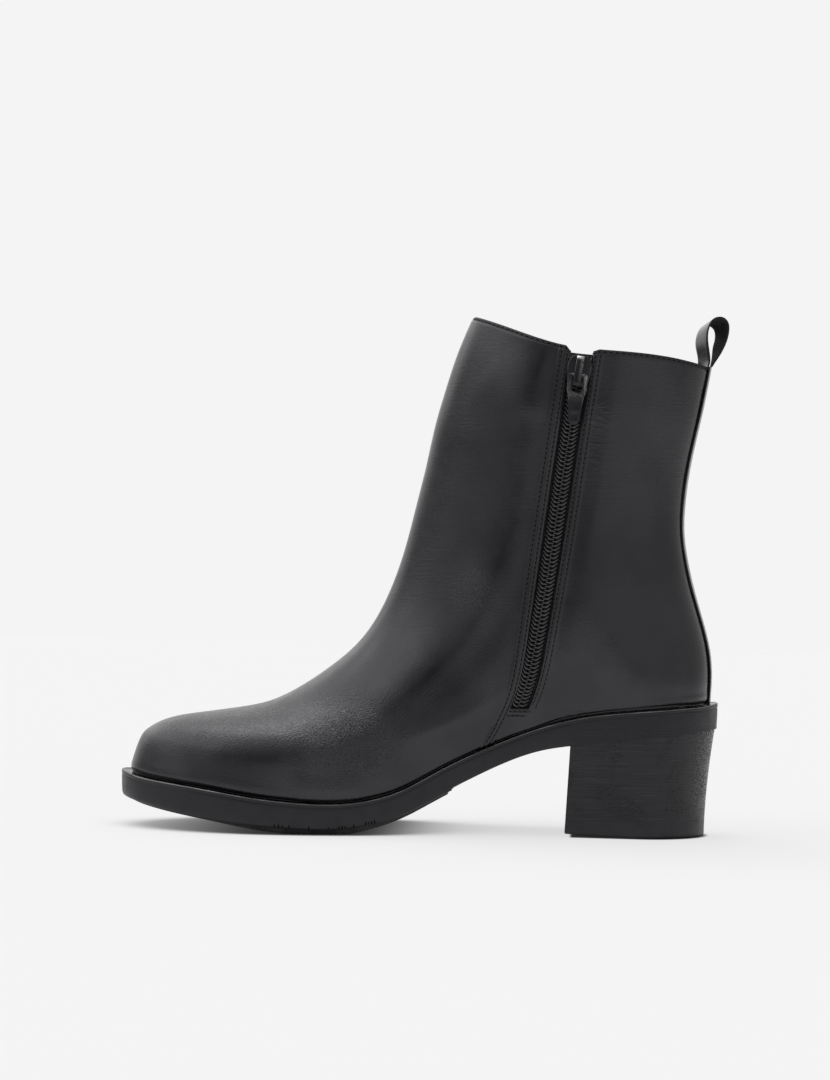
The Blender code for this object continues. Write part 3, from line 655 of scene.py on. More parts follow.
def cloth_look():
    """Plain weave of the zip tape, painted near black in the middle behind the coil as shade."""
    look = Look("zip_cloth", (0.011, 0.011, 0.0115), 0.8, Sheen_Weight=0.15)
    warp = look.waves(0.55, (1.0, 0.4, 0.0), "X", 0.4)
    weft = look.waves(0.45, (0.0, 0.0, 1.0), "Z", 0.4)
    weave = look.math("MULTIPLY", warp, weft)
    cloth = look.tint(weave, (0.006, 0.006, 0.0062), (0.02, 0.02, 0.0205))
    # Painted shade: the tape goes near black where it lies behind the coil.
    look.set("Base Color", look.tint(look.mask("behind"), cloth, (0.0025, 0.0025, 0.0025)))
    look.set("Roughness", look.spread(weave, 0.0, 1.0, 0.85, 0.7))
    look.bump(weave, 0.12)
    return look.material


def coil_look():
    look = Look("zip_coil", (0.02, 0.02, 0.021), 0.26, Specular_IOR_Level=0.75)
    look.roughen(1.2, 0.17, 0.27)
    look.mottle(9.0, (0.012, 0.012, 0.0125), (0.02, 0.02, 0.0205))
    look.bump(look.noise(0.3, detail=2.0), 0.01)
    return look.material


def thread_look():
    look = Look("black_thread", (0.012, 0.012, 0.0125), 0.6)
    twist = look.waves(0.3, (1.0, 1.0, 1.0), "DIAGONAL", 0.3)
    look.set("Base Color", look.tint(twist, (0.007, 0.007, 0.0073), (0.019, 0.019, 0.0195)))
    look.set("Roughness", look.spread(twist, 0.0, 1.0, 0.7, 0.5))
    look.bump(twist, 0.05)
    return look.material


def yarn_look():
    """Loose ends of dark yarn with pale fibres."""
    look = Look("zip_yarn", (0.03, 0.03, 0.031), 0.7)
    look.mottle(0.9, (0.012, 0.012, 0.0125), (0.3, 0.3, 0.29), low=0.5, high=0.62)
    look.roughen(0.5, 0.6, 0.8)
    return look.material


# Painted shade: near-black, matt and without gloss, for the shade inside needle holes and small cuts.
def painted_shade_look():
    look = Look("needle_hole", (0.002, 0.002, 0.002), 0.9, Specular_IOR_Level=0.1)
    look.roughen(1.0, 0.85, 0.95)
    return look.material


def metal_look():
    """Black coated metal, worn bright where it is rubbed."""
    look = Look("black_metal", (0.01, 0.01, 0.011), 0.3, Specular_IOR_Level=0.4, Specular_Tint=COOL_GLOSS)
    rubbed = look.spread(look.noise(0.8, detail=4.0), 0.3, 0.55)
    worn = look.math("MULTIPLY", look.mask("worn"), rubbed)
    look.set("Base Color", look.tint(worn, (0.0085, 0.0082, 0.0095), (0.72, 0.71, 0.69)))
    look.set("Metallic", worn)
    look.roughen(1.6, 0.24, 0.36, detail=4.0)
    look.bump(look.noise(0.5), 0.012)
    return look.material


# Mesh helpers

def new_mesh(name, points, faces):
    """Mesh with its faces turned outwards."""
    mesh = bpy.data.meshes.new(name)
    mesh.from_pydata(points, [], faces)
    bm = bmesh.new()
    bm.from_mesh(mesh)
    bmesh.ops.recalc_face_normals(bm, faces=bm.faces)
    bm.to_mesh(mesh)
    bm.free()
    return mesh


def new_object(name, data):
    obj = bpy.data.objects.new(name, data)
    bpy.context.scene.collection.objects.link(obj)
    return obj


def piece(name, verts, faces, look, slot, body="boot", replaces=(), masks=None, sharp=None):
    """Object from points in millimetres, set on its body, with masks for its material."""
    used = np.unique(np.concatenate([np.asarray(f) for f in faces]))
    index = np.full(len(verts), -1)
    index[used] = np.arange(len(used))
    points = (np.asarray(verts, float)[used] + SHIFT) * MM
    mesh = new_mesh(name, points.tolist(), [[int(index[k]) for k in f] for f in faces])
    for key, values in (masks or {}).items():
        data = mesh.attributes.new(key, "FLOAT", "POINT").data
        data.foreach_set("value", np.asarray(values, np.float32)[used])
    mesh.materials.append(look)
    mesh.shade_smooth()
    if sharp:
        mesh.set_sharp_from_angle(angle=math.radians(sharp))
    obj = new_object(name, mesh)
    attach(obj, body)
    if replaces:
        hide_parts(*replaces)
    return obj


def walls(count, n):
    """Faces between closed loops of n points."""
    faces = []
    for k in range(count - 1):
        for i in range(n):
            j = (i + 1) % n
            faces.append((k * n + i, k * n + j, (k + 1) * n + j, (k + 1) * n + i))
    return faces


def ladder(n):
    """End face of a loop of paired stations, as rungs across it."""
    faces = []
    for i in range(n // 2):
        quad = []
        for k in (i, i + 1, (n - i - 1) % n, (n - i) % n):
            if k not in quad:
                quad.append(k)
        faces.append(tuple(quad))
    return faces


def closed(loops, cap):
    """Points and faces of a solid through loops, with the same end faces at both ends."""
    n = len(loops[0])
    last = (len(loops) - 1) * n
    return np.concatenate(loops), walls(len(loops), n) + cap + [tuple(k + last for k in f) for f in cap]


def fan(loop_start, n, centre):
    return [(loop_start + i, loop_start + (i + 1) % n, centre) for i in range(n)]


def fanned(loops):
    """Points and faces of a solid through loops, with end faces that meet in the middle."""
    n = len(loops[0])
    verts = np.concatenate(loops + [loops[0].mean(axis=0)[None], loops[-1].mean(axis=0)[None]])
    ends = fan(0, n, len(verts) - 2) + fan((len(loops) - 1) * n, n, len(verts) - 1)
    return verts, walls(len(loops), n) + ends


def shell(outer, inner, present):
    """Points and faces of a wall between two grids that close on themselves, where cells are present."""
    rows, cols = outer.shape[:2]
    count = rows * cols
    faces = []
    for r in range(rows - 1):
        for c in range(cols):
            if not present[r, c]:
                continue
            a = r * cols + c
            b = r * cols + (c + 1) % cols
            d = a + cols
            e = b + cols
            faces.append((a, b, e, d))
            faces.append((a + count, d + count, e + count, b + count))
            edges = (
                (r == 0 or not present[r - 1, c], b, a),
                (r == rows - 2 or not present[r + 1, c], d, e),
                (not present[r, c - 1], a, d),
                (not present[r, (c + 1) % cols], e, b),
            )
            for free, p, q in edges:
                if free:
                    faces.append((p, q, q + count, p + count))
    return np.concatenate((outer.reshape(-1, 3), inner.reshape(-1, 3))), faces


def tube(points, normals, radii, sides):
    """Rounded strand through points; radii are (across, out) at each point."""
    along = unit(np.gradient(points, axis=0))
    out = unit(normals - along * np.sum(normals * along, axis=1, keepdims=True))
    across = np.cross(along, out)
    angle = np.linspace(0.0, 2.0 * math.pi, sides, endpoint=False)
    ring = across[:, None] * (np.cos(angle)[None, :, None] * radii[:, 0, None, None])
    ring = ring + out[:, None] * (np.sin(angle)[None, :, None] * radii[:, 1, None, None])
    return closed(list(points[:, None] + ring), [tuple(range(sides))])


class Bundle:
    """Many small shapes gathered into one mesh."""

    def __init__(self):
        self.verts = []
        self.faces = []
        self.count = 0

    def add(self, verts, faces):
        self.verts.append(np.asarray(verts))
        self.faces += [tuple(k + self.count for k in f) for f in faces]
        self.count += len(verts)

    def piece(self, name, look, slot, **more):
        return piece(name, np.concatenate(self.verts), self.faces, look, slot, **more)


# Upper

SLOT_NEAR = np.array((0.0, 0.25, 0.5, 0.8, 1.1, 1.4, 1.8, 2.3, 2.8, 3.2, 3.6, 4.0, 4.5, 5.0, 5.4, 6.0, 6.8))
SEAM_NEAR = np.array((
    -3.0, -2.0, -1.2, -0.6, -0.2, 0.1, 0.4, 0.8, 1.2, 1.6, 2.1, 2.6, 3.1, 3.5, 3.9, 4.5, 5.2, 6.0,
))
FRONT_COLS = 84
SLOT_COLS = 10
REAR_COLS = 44
COLLAR_V = np.array((0.0, 0.0012, 0.0025, 0.004, 0.0055, 0.007, 0.0085, 0.010, 0.012, 0.0145, 0.018))
FRONT_STITCH = (1.35, 3.8)
BACK_STITCH = (1.1, 3.2)
SEAM_STITCH = (1.3, 3.6)
COLLAR_STITCH = 1.05
COLLAR_STITCH_PITCH = 2.6
COLLAR_STITCH_LENGTH = 1.7
STITCHED_V = (0.012, 0.985)
FRONT_BAND = 5.1
BACK_BAND = 4.4
SEAM_BAND = 4.9
FRONT_BAND_RISE = 0.32
BACK_BAND_RISE = 0.22
FRONT_PUFF = 1.0
BACK_PUFF = 1.1
FRONT_CORNER_DROP = 1.9
BACK_CORNER_DROP = 0.9
BAND_CREST = 0.12
STITCH_TROUGH = 0.2
COLLAR_SKIVE = 0.3
COLLAR_TROUGH = 0.1
EDGE_ROUND = 0.42
EDGE_TUCK = 0.3
SOLE_TUCK = 1.1
SOLE_TUCK_INSIDE = 0.9
SOLE_BULGE = 0.14
COUNTER_TUCK = 1.1
LINE_STEPS = 59


def steps_between(a, b, count, power=1.0, far=False):
    """Places from a up to b, without b, closer together at the start or at the far end."""
    q = np.linspace(0.0, 1.0, count + 1)[:-1]
    q = 1.0 - (1.0 - q) ** power if far else q ** power
    return a + (b - a) * q


def upper_arcs(ring):
    """Arc positions of the columns, close together along the zip and the outer seam."""
    a = ring.zip - ZIP_SLOT / 2.0
    b = ring.zip + ZIP_SLOT / 2.0
    front_edge = a - SLOT_NEAR[::-1]
    back_edge = b + SLOT_NEAR
    seam = ring.seam + SEAM_NEAR
    return np.concatenate((
        steps_between(0.0, front_edge[0], FRONT_COLS, 1.15),
        front_edge,
        steps_between(a, b, SLOT_COLS)[1:],
        back_edge,
        steps_between(back_edge[-1], ring.back, REAR_COLS)[1:],
        steps_between(ring.back, seam[0], REAR_COLS),
        seam,
        steps_between(seam[-1], ring.length, FRONT_COLS + 8, 1.15, far=True)[1:],
    ))


def upper_rows():
    near = 0.0035 * np.arange(1, 7)
    low = SLOT_END_V - near[-1]
    high = SLOT_END_V + near[-1]
    return np.concatenate((
        COLLAR_V,
        np.linspace(COLLAR_V[-1] + 0.005, low - 0.006, 82),
        SLOT_END_V - near[::-1],
        (SLOT_END_V,),
        SLOT_END_V + near,
        np.linspace(high + 0.005, 0.95, 17),
        np.linspace(0.957, 1.0, 9),
    ))


# Soft creases: side of the boot (-1 inner, 1 outer), width, depth (below 0 for a ridge), and the
# line they follow, as x and z in the side view.
CREASES = (
    (-1, 9.0, -0.35, ((22.0, 196.0), (34.0, 190.0), (47.0, 184.0))),
)
# Swells: side, width before and behind their line, height, line.
SWELLS = (
    (-1, 15.0, 7.5, 2.1, (
        (38.5, 138.0), (28.5, 104.5), (17.0, 83.0), (1.5, 66.5),
        (-17.0, 51.5), (-36.0, 37.0), (-50.0, 25.0), (-60.0, 14.0),
    )),
    (-1, 8.0, 11.0, 0.9, ((-42.0, 38.0), (-58.0, 36.5), (-76.0, 35.0), (-96.0, 33.0))),
    (-1, 7.0, 4.0, 1.8, ((-18.0, 19.4), (-28.0, 18.6), (-40.0, 18.0), (-56.0, 18.2))),
    (-1, 15.0, 7.0, 1.1, ((54.0, 214.0), (50.5, 202.0), (48.5, 190.0), (47.5, 172.0))),
)


def line_distance(x, z, line):
    """Signed distance in the side view from points to a line, and where along it they lie."""
    fine = path(line)(np.linspace(0.0, 1.0, LINE_STEPS + 1))
    best = np.full(x.shape, 1e9)
    share = np.zeros(x.shape)
    sign = np.ones(x.shape)
    for k, start in enumerate(fine[:-1]):
        lean = fine[k + 1] - start
        t = np.clip(((x - start[0]) * lean[0] + (z - start[1]) * lean[1]) / (lean @ lean), 0.0, 1.0)
        off_x = x - start[0] - t * lean[0]
        off_z = z - start[1] - t * lean[1]
        d = np.hypot(off_x, off_z)
        nearer = d < best
        best = np.where(nearer, d, best)
        share = np.where(nearer, (k + t) / LINE_STEPS, share)
        sign = np.where(nearer, np.sign(lean[0] * off_z - lean[1] * off_x), sign)
    return best * sign, share


def creases(points):
    """Troughs and swells of the leather, placed as listed."""
    x, y, z = points[..., 0], points[..., 1], points[..., 2]
    total = np.zeros(x.shape)
    for side, width, depth, line in CREASES:
        d, share = line_distance(x, z, line)
        trough = bell(d / width) - 0.45 * bell((np.abs(d) - 1.9 * width) / width)
        total = total - depth * trough * fade_ends(share) * one_side(y, side)
    for side, before, behind, height, line in SWELLS:
        d, share = line_distance(x, z, line)
        rise = bell(d / np.where(d < 0.0, before, behind))
        total = total + height * rise * fade_ends(share) * one_side(y, side)
    return total


def unevenness(points):
    """Slow swell of the leather between its seams."""
    x, y, z = points[..., 0], points[..., 1], points[..., 2]
    a = np.sin(x / 9.0 + 0.5 * np.sin(z / 13.0)) * np.sin(z / 11.0 + 0.06 * y)
    b = np.sin(x / 17.0 - z / 21.0 + y / 25.0 + 1.3)
    c = np.sin(z / 6.5 + 0.8 * np.sin(x / 14.0 + y / 19.0))
    return 0.05 * a + 0.09 * b + 0.03 * c


class UpperGrid:
    """Grid of the upper with what its relief and masks are worked out from."""

    def __init__(self):
        self.v = upper_rows()
        rings = [Ring(v, 700) for v in self.v]
        arcs = np.array([upper_arcs(ring) for ring in rings])
        self.points = np.array([ring.at(s) for ring, s in zip(rings, arcs)])
        self.from_zip = arcs - np.array([[ring.zip] for ring in rings])
        self.from_seam = arcs - np.array([[ring.seam] for ring in rings])
        rows, cols = arcs.shape
        self.slot_row = int(np.argmin(np.abs(self.v - SLOT_END_V)))
        self.slide_rows()
        down = np.gradient(self.points, axis=0)
        along = np.roll(self.points, -1, axis=1) - np.roll(self.points, 1, axis=1)
        self.normals = unit(np.cross(down, along))
        steps = np.linalg.norm(np.diff(self.points, axis=0), axis=2)
        self.from_collar = np.concatenate((np.zeros((1, cols)), np.cumsum(steps, axis=0)))
        self.from_sole = self.from_collar[-1] - self.from_collar
        self.below_slot = self.from_collar - self.from_collar[self.slot_row]
        start = FRONT_COLS + len(SLOT_NEAR) - 1
        self.slot_cols = (start, start + SLOT_COLS)
        self.present = np.ones((rows - 1, cols), bool)
        self.present[:self.slot_row, self.slot_cols[0]:self.slot_cols[1]] = False
        self.outside = self.points + self.normals * upper_relief(self)[..., None]

    def slide_rows(self):
        """Level the slot's end and ease the collar's corners beside the zip."""
        v, row = self.v, self.slot_row
        z = self.points[..., 2]
        per_v = (z[row + 3] - z[row - 3]) / (v[row + 3] - v[row - 3])
        near = 1.0 - smooth((np.abs(self.from_zip[row]) - 8.0) / 10.0)
        slide = near * (ZIP_SLOT_END_Z - z[row]) / per_v
        target = v[:, None] + slide * bell((v - SLOT_END_V) / 0.05)[:, None]
        e = np.abs(self.from_zip[0]) - ZIP_SLOT / 2.0
        ahead = self.from_zip[0] < 0.0
        drop = np.where(ahead, FRONT_CORNER_DROP, BACK_CORNER_DROP) * (1.0 - smooth(e / 2.8))
        drop = np.where(e < 3.0, drop, 0.0)
        per_v = (z[5] - z[0]) / (v[5] - v[0])
        target = target - drop / per_v * (1.0 - smooth(v / 0.08))[:, None]
        for c in range(self.points.shape[1]):
            self.points[:, c] = interp_rows(target[:, c], v, self.points[:, c])

    def line_down(self, from_mark, s, low_v, high_v):
        """Line down the raised surface at a distance from a landmark: points and normals."""
        rows = [r for r in range(len(self.v)) if low_v <= self.v[r] <= high_v]
        points = [interp_rows(s, from_mark[r], self.outside[r]) for r in rows]
        normals = [interp_rows(s, from_mark[r], self.normals[r]) for r in rows]
        return np.array(points), unit(np.array(normals))

    def line_across(self, from_row, depth, cols):
        """Line over the raised surface at a depth below a row: points and normals."""
        points = [interp_rows(depth, from_row[:, c], self.outside[:, c]) for c in cols]
        normals = [interp_rows(depth, from_row[:, c], self.normals[:, c]) for c in cols]
        return np.array(points), unit(np.array(normals))

    def slot_distance(self):
        across = np.maximum(np.abs(self.from_zip) - ZIP_SLOT / 2.0, 0.0)
        return np.hypot(across, np.maximum(self.below_slot, 0.0))


def band_relief(e, rows, width, height):
    """Raised band beside a folded edge, with a trough at each row of stitches."""
    relief = height * (1.0 - smooth((e - width + 0.25) / 0.5))
    relief = relief + BAND_CREST * bell((e - (rows[0] + rows[1]) / 2.0) / 0.7)
    for row in rows:
        relief = relief - STITCH_TROUGH * bell((e - row) / 0.4)
    return relief


def puff(e, width, fall):
    """Leather that swells up beside the flat band along the zip."""
    return between(e - width, -0.5, 8.0, 9.0, fall)


def upper_relief(grid):
    """How far the outside of the leather stands above its plain form."""
    e = grid.slot_distance()
    front_e = -grid.from_zip - ZIP_SLOT / 2.0
    front = front_e >= -0.001
    seam_e = grid.from_seam
    relief = creases(grid.points) + unevenness(grid.points)
    calm = smooth(e / 14.0) * smooth((grid.from_collar - 2.0) / 12.0)
    relief = relief * np.maximum(calm, 0.15)
    near_zip = np.abs(grid.from_zip) < 60.0
    lower = smooth((grid.points[..., 2] - 56.0) / 24.0)
    before = FRONT_PUFF * puff(front_e, FRONT_BAND, 22.0)
    behind = BACK_PUFF * puff(e, BACK_BAND, 38.0)
    relief = relief + np.where(near_zip, np.where(front, before, behind) * lower, 0.0)
    beside = np.where(front, band_relief(front_e, FRONT_STITCH, FRONT_BAND, FRONT_BAND_RISE),
                      band_relief(e, BACK_STITCH, BACK_BAND, BACK_BAND_RISE))
    relief = relief + np.where(near_zip, beside, 0.0)
    seam = np.where(seam_e > 0.0, band_relief(seam_e, SEAM_STITCH, SEAM_BAND, FRONT_BAND_RISE), 0.0)
    relief = relief + np.where(np.abs(seam_e) < 20.0, seam, 0.0)
    c = grid.from_collar
    relief = relief - COLLAR_SKIVE * (1.0 - smooth((c - 1.7) / 0.5))
    relief = relief - COLLAR_TROUGH * bell((c - COLLAR_STITCH) / 0.3)
    relief = relief - EDGE_ROUND * (1.0 - smooth(c / 0.75)) - EDGE_ROUND * (1.0 - smooth(e / 0.8))
    relief = relief - SOLE_TUCK * (1.0 - smooth(grid.from_sole / 1.9))
    counter = between(grid.points[..., 0], 48.0, 14.0, 108.0, 10.0)
    relief = relief - COUNTER_TUCK * (1.0 - smooth(grid.from_sole / 22.0)) * counter
    return relief + SOLE_BULGE * bell((grid.from_sole - 3.6) / 1.6)


def region(points, oval, side=0):
    """Soft oval mask seen from the side, on one side of the boot or on both."""
    x, z, half_length, half_height = oval
    d = np.hypot((points[..., 0] - x) / half_length, (points[..., 2] - z) / half_height)
    mask = 1.0 - smooth((d - 0.35) / 0.75)
    return mask * one_side(points[..., 1], side, 12.0) if side else mask


# Ovals seen from the side: x, z, half length, half height
INSTEP = (23.0, 102.0, 15.0, 14.0)
BALL = (-32.0, 40.0, 34.0, 26.0)
BALL_CREASES = (-28.0, 37.0, 24.0, 18.0)
TOE = (-88.0, 46.0, 46.0, 16.0)
TOE_WALL = (-78.0, 31.0, 40.0, 12.0)
HEEL_SEAT = (63.0, 51.0, 10.0, 4.0)
# Line across the vamp where it bends: x, z
BEND_LINE = ((-22.0, 42.0), (-2.0, 56.0), (14.0, 69.0))
FAN_X = 64.0
FAN_Z = 178.8


def upper_masks(grid):
    """Where the grain is coarse, creased by bending, drawn into a fan, or fine and hair-like."""
    p = grid.points
    x, y, z = p[..., 0], p[..., 1], p[..., 2]
    inner = one_side(y, -1)
    instep = np.maximum(region(p, INSTEP, -1), region(p, INSTEP, 1))
    toe = region(p, TOE)
    reach = np.hypot(x - FAN_X, z - FAN_Z)
    turn = np.arctan2(z - FAN_Z, x - FAN_X)
    sector = 1.0 - smooth((np.abs(turn) - 0.3) / 0.35)
    drawn = between(grid.from_zip - ZIP_SLOT / 2.0, 4.0, 1.0, 6.5, 5.0) * between(z, 148.0, 6.0, 170.0, 4.0)
    away, share = line_distance(x, z, BEND_LINE)
    edge = 1.0 - smooth((grid.from_collar - 1.6) / 0.5)
    masks = {
        "grain": np.clip(0.12 + 0.4 * instep + 0.75 * region(p, BALL) + 0.35 * toe, 0.0, 1.0),
        "wrinkle": np.clip(region(p, BALL_CREASES) + 0.15 * instep + 0.25 * toe, 0.0, 1.0),
        "fan": between(reach, 4.0, 1.5, 7.0, 8.0) * sector * inner,
        "fan_turn": turn * 8.0,
        "fan_reach": reach * 0.09,
        "drawn": np.maximum(drawn * inner, region(p, HEEL_SEAT, -1)),
        "bend": bell(away / 5.0) * fade_ends(share, 0.2, 0.3) * inner,
        "hair": smooth((z - 70.0) / 40.0),
        "edge": np.maximum(edge, 0.3 * region(p, TOE_WALL, -1)),
    }
    return {name: np.tile(values.ravel(), 2) for name, values in masks.items()}


def set_on_sole(*grids):
    for grid in grids:
        grid[-1, :, 2] = sole_top(grid[-1, :, 0]) + GAP


def build_upper(grid, look):
    outside = grid.outside.copy()
    tuck = 2.0 - smooth(grid.from_collar / 0.75) - smooth(grid.slot_distance() / 0.8)
    tuck = EDGE_TUCK * tuck - SOLE_TUCK_INSIDE * (1.0 - smooth(grid.from_sole / 1.9))
    inside = grid.points - grid.normals * (LEATHER - tuck)[..., None]
    set_on_sole(outside, inside)
    verts, faces = shell(outside, inside, grid.present)
    return piece("upper_leather", verts, faces, look, "upper_leather", replaces=("upper",),
                 masks=upper_masks(grid))


def build_lining(grid, look):
    """Thin lining inside the leather, set back a little from the collar and the zip."""
    rows = np.concatenate(((1,), np.arange(3, grid.slot_row, 2), np.arange(grid.slot_row, len(grid.v), 2)))
    start, end = grid.slot_cols
    before = np.arange(start - 6, -1, -2)[::-1]
    slot = np.arange(start - 3, end + 4, 3)
    after = np.arange(slot[-1] + 3, grid.points.shape[1], 2)
    cols = np.concatenate((before, slot, after))
    pick = np.ix_(rows, cols)
    points = grid.points[pick]
    normals = grid.normals[pick]
    outer = points - normals * LINING_TOP
    inner = points - normals * UPPER_WALL
    set_on_sole(outer, inner)
    present = np.ones((len(rows) - 1, len(cols)), bool)
    first = len(before)
    cut = int(np.searchsorted(rows, grid.slot_row))
    present[:cut, first:first + len(slot) - 1] = False
    verts, faces = shell(outer, inner, present)
    return piece("upper_lining", verts, faces, look, "insole_leather")


# Stitches

STITCH_PITCH = 2.05
STITCH_LENGTH = 1.3
THREAD_RADIUS = 0.21
THREAD_RISE = 0.12
THREAD_DIVE = 0.3
HOLE_RISE = 0.1
HOLE_DEPTH = 0.3
HOLE_HALF_WIDTH = 0.27
HOLE_SIDES = 8


def needle_hole(p, n, along, long, wide):
    """Small dimple where the thread goes in, long along the row; drawn in the painted-shade look, dark for
    the shade inside it.
    """
    across = np.cross(n, along)
    angle = np.linspace(0.0, 2.0 * math.pi, HOLE_SIDES, endpoint=False)[:, None]
    ring = p + n * HOLE_RISE + long * np.cos(angle) * along + wide * np.sin(angle) * across
    verts = np.concatenate((ring, [p + n * 0.02], [p - n * HOLE_DEPTH]))
    return verts, fan(0, HOLE_SIDES, HOLE_SIDES) + fan(0, HOLE_SIDES, HOLE_SIDES + 1)


def add_stitches(bundles, line, pitch=STITCH_PITCH, length=STITCH_LENGTH, start=0.6):
    """A row of stitches along a line on the surface, each diving into a needle hole at both ends."""
    threads, holes = bundles
    points, normals = line
    s = lengths(points)
    t = np.linspace(0.0, 1.0, 8)
    dive = np.abs(2.0 * t - 1.0) ** 4
    radius = THREAD_RADIUS * (1.0 - 0.3 * dive)
    radii = np.stack((radius, radius * 0.85), axis=1)
    for begin in np.arange(start, s[-1] - length, pitch):
        where = begin + t * length
        p = along_line(points, where)
        n = unit(interp_rows(where, s, normals))
        threads.add(*tube(p + n * (THREAD_RISE - THREAD_DIVE * dive)[:, None], n, radii, 6))
        middle = along_line(points, np.array((begin - (pitch - length) / 2.0,)))[0]
        holes.add(*needle_hole(middle, n[0], unit(p[-1] - p[0]), 0.62 * (pitch - length), HOLE_HALF_WIDTH))


def build_stitches(grid, thread, hole_shade):
    bundles = (Bundle(), Bundle())
    for e in FRONT_STITCH:
        add_stitches(bundles, grid.line_down(grid.from_zip, -ZIP_SLOT / 2.0 - e, *STITCHED_V))
    across = grid.from_zip[grid.slot_row]
    for e in BACK_STITCH:
        side = grid.line_down(grid.from_zip, ZIP_SLOT / 2.0 + e, STITCHED_V[0], SLOT_END_V + 0.001)
        add_stitches(bundles, side)
        cols = [c for c in range(len(across)) if -ZIP_SLOT / 2.0 <= across[c] <= ZIP_SLOT / 2.0 + e]
        add_stitches(bundles, grid.line_across(grid.below_slot, e, cols))
    for e in SEAM_STITCH:
        add_stitches(bundles, grid.line_down(grid.from_seam, e, *STITCHED_V))
    count = grid.points.shape[1]
    cols = [c % count for c in range(grid.slot_cols[1], grid.slot_cols[0] + count + 1)]
    around = grid.line_across(grid.from_collar, COLLAR_STITCH, cols)
    add_stitches(bundles, around, COLLAR_STITCH_PITCH, COLLAR_STITCH_LENGTH)
    bundles[0].piece("upper_stitches", thread, "upper_leather")
    # Needle holes in the painted-shade look, dark for the shade inside them.
    bundles[1].piece("upper_needle_holes", hole_shade, "upper_leather")


# Zip

class ZipLine:
    """The zip's middle line with its own directions: towards the heel, down, away from the leather."""

    def __init__(self, heights, count=160):
        vs = np.linspace(v_for_zip_z(heights[0]), v_for_zip_z(heights[1]), count)
        rows = [patch(v, "zip", [0.0]) for v in vs]
        self.points = np.array([p[0] for p, n in rows])
        normals = np.array([n[0] for p, n in rows])
        self.down = unit(np.gradient(self.points, axis=0))
        self.out = unit(normals - self.down * np.sum(normals * self.down, axis=1, keepdims=True))
        self.side = np.cross(self.down, self.out)
        self.side = self.side * np.sign(self.side[:, :1])
        self.s = lengths(self.points)
        self.length = self.s[-1]

    def frame(self, s):
        lines = (self.points, self.side, self.down, self.out)
        p, side, down, out = [interp_rows(s, self.s, line) for line in lines]
        return p, unit(side), unit(down), unit(out)


# One turn of the coil, from the tape's edge over the top to the head and back below:
# across, down, out, radius along the zip, radius out from it
TURN_ROWS = (
    (3.50, -1.30, -1.95, 0.30, 0.30),
    (3.48, -1.28, -1.35, 0.33, 0.32),
    (3.18, -1.02, -0.92, 0.35, 0.36),
    (2.60, -0.42, -0.70, 0.36, 0.38),
    (2.05, 0.14, -0.64, 0.40, 0.38),
    (1.65, 0.40, -0.66, 0.52, 0.34),
    (1.30, 0.46, -0.72, 0.44, 0.34),
    (0.90, 0.48, -0.74, 0.38, 0.34),
    (0.30, 0.48, -0.72, 0.38, 0.36),
    (-0.12, 0.48, -0.86, 0.38, 0.36),
    (-0.28, 0.48, -1.30, 0.38, 0.30),
    (0.00, 0.48, -1.80, 0.36, 0.26),
    (1.20, 0.48, -2.00, 0.34, 0.24),
)


COIL_END = 0.9
COIL_LEAN = 0.9
COIL_LEAN_Z = 55.0
COIL_LEAN_RISE = 62.0


def build_coil(look):
    """Turns of both halves of the zip, leaning a little forward towards its lower end."""
    line = ZipLine(ZIP_CHAIN_HEIGHTS)
    shape = path(TURN_ROWS)(np.linspace(0.0, 1.0, 22))
    bundle = Bundle()
    for sign, phase in ((-1.0, 0.0), (1.0, 0.5)):
        for s in np.arange(COIL_END + phase * ZIP_PITCH, line.length - COIL_END, ZIP_PITCH):
            p, side, down, out = line.frame(s)
            p = p - side * COIL_LEAN * (1.0 - smooth((p[2] - COIL_LEAN_Z) / COIL_LEAN_RISE))
            points = in_frame((p, side * sign, down, out), shape)
            normals = np.cross(np.gradient(points, axis=0), down) * sign
            bundle.add(*tube(points, normals, shape[:, 3:5], 9))
    return bundle.piece("zip_coil", look, "zip_coil", replaces=("zip_chain",))


def build_tape(look):
    """Woven tape behind the slot, rounded along its edges; its middle strip carries the painted shade behind
    the coil.
    """
    half = ZIP_TAPE_WIDTH / 2.0
    s = np.linspace(-half, half, 25)
    low, high = ZIP_TAPE_DEPTH
    middle = (low + high) / 2.0
    edge = smooth((half - np.abs(s)) / 0.8)
    loops = []
    for v in np.linspace(v_for_zip_z(ZIP_TAPE_HEIGHTS[0]), v_for_zip_z(ZIP_TAPE_HEIGHTS[1]), 110):
        p, n = patch(v, "zip", s)
        bottom = p + n * (middle + (low - middle) * (0.3 + 0.7 * edge))[:, None]
        top = p + n * (middle + (high - middle) * (0.3 + 0.7 * edge))[:, None]
        loops.append(np.concatenate((bottom, top[::-1])))
    n = 2 * len(s)
    cap = [(k, k + 1, n - k - 2, n - k - 1) for k in range(len(s) - 1)]
    verts, faces = closed(loops, cap)
    # Mask for the painted shade on the tape behind the coil.
    behind = np.tile(1.0 - smooth((np.abs(np.concatenate((s, s[::-1]))) - 3.0) / 1.2), len(loops))
    return piece("zip_tape_cloth", verts, faces, look, "zip_cloth", replaces=("zip_tape",),
                 masks={"behind": behind})


FRAY_COUNT = 44
FRAY_RADIUS = 0.16


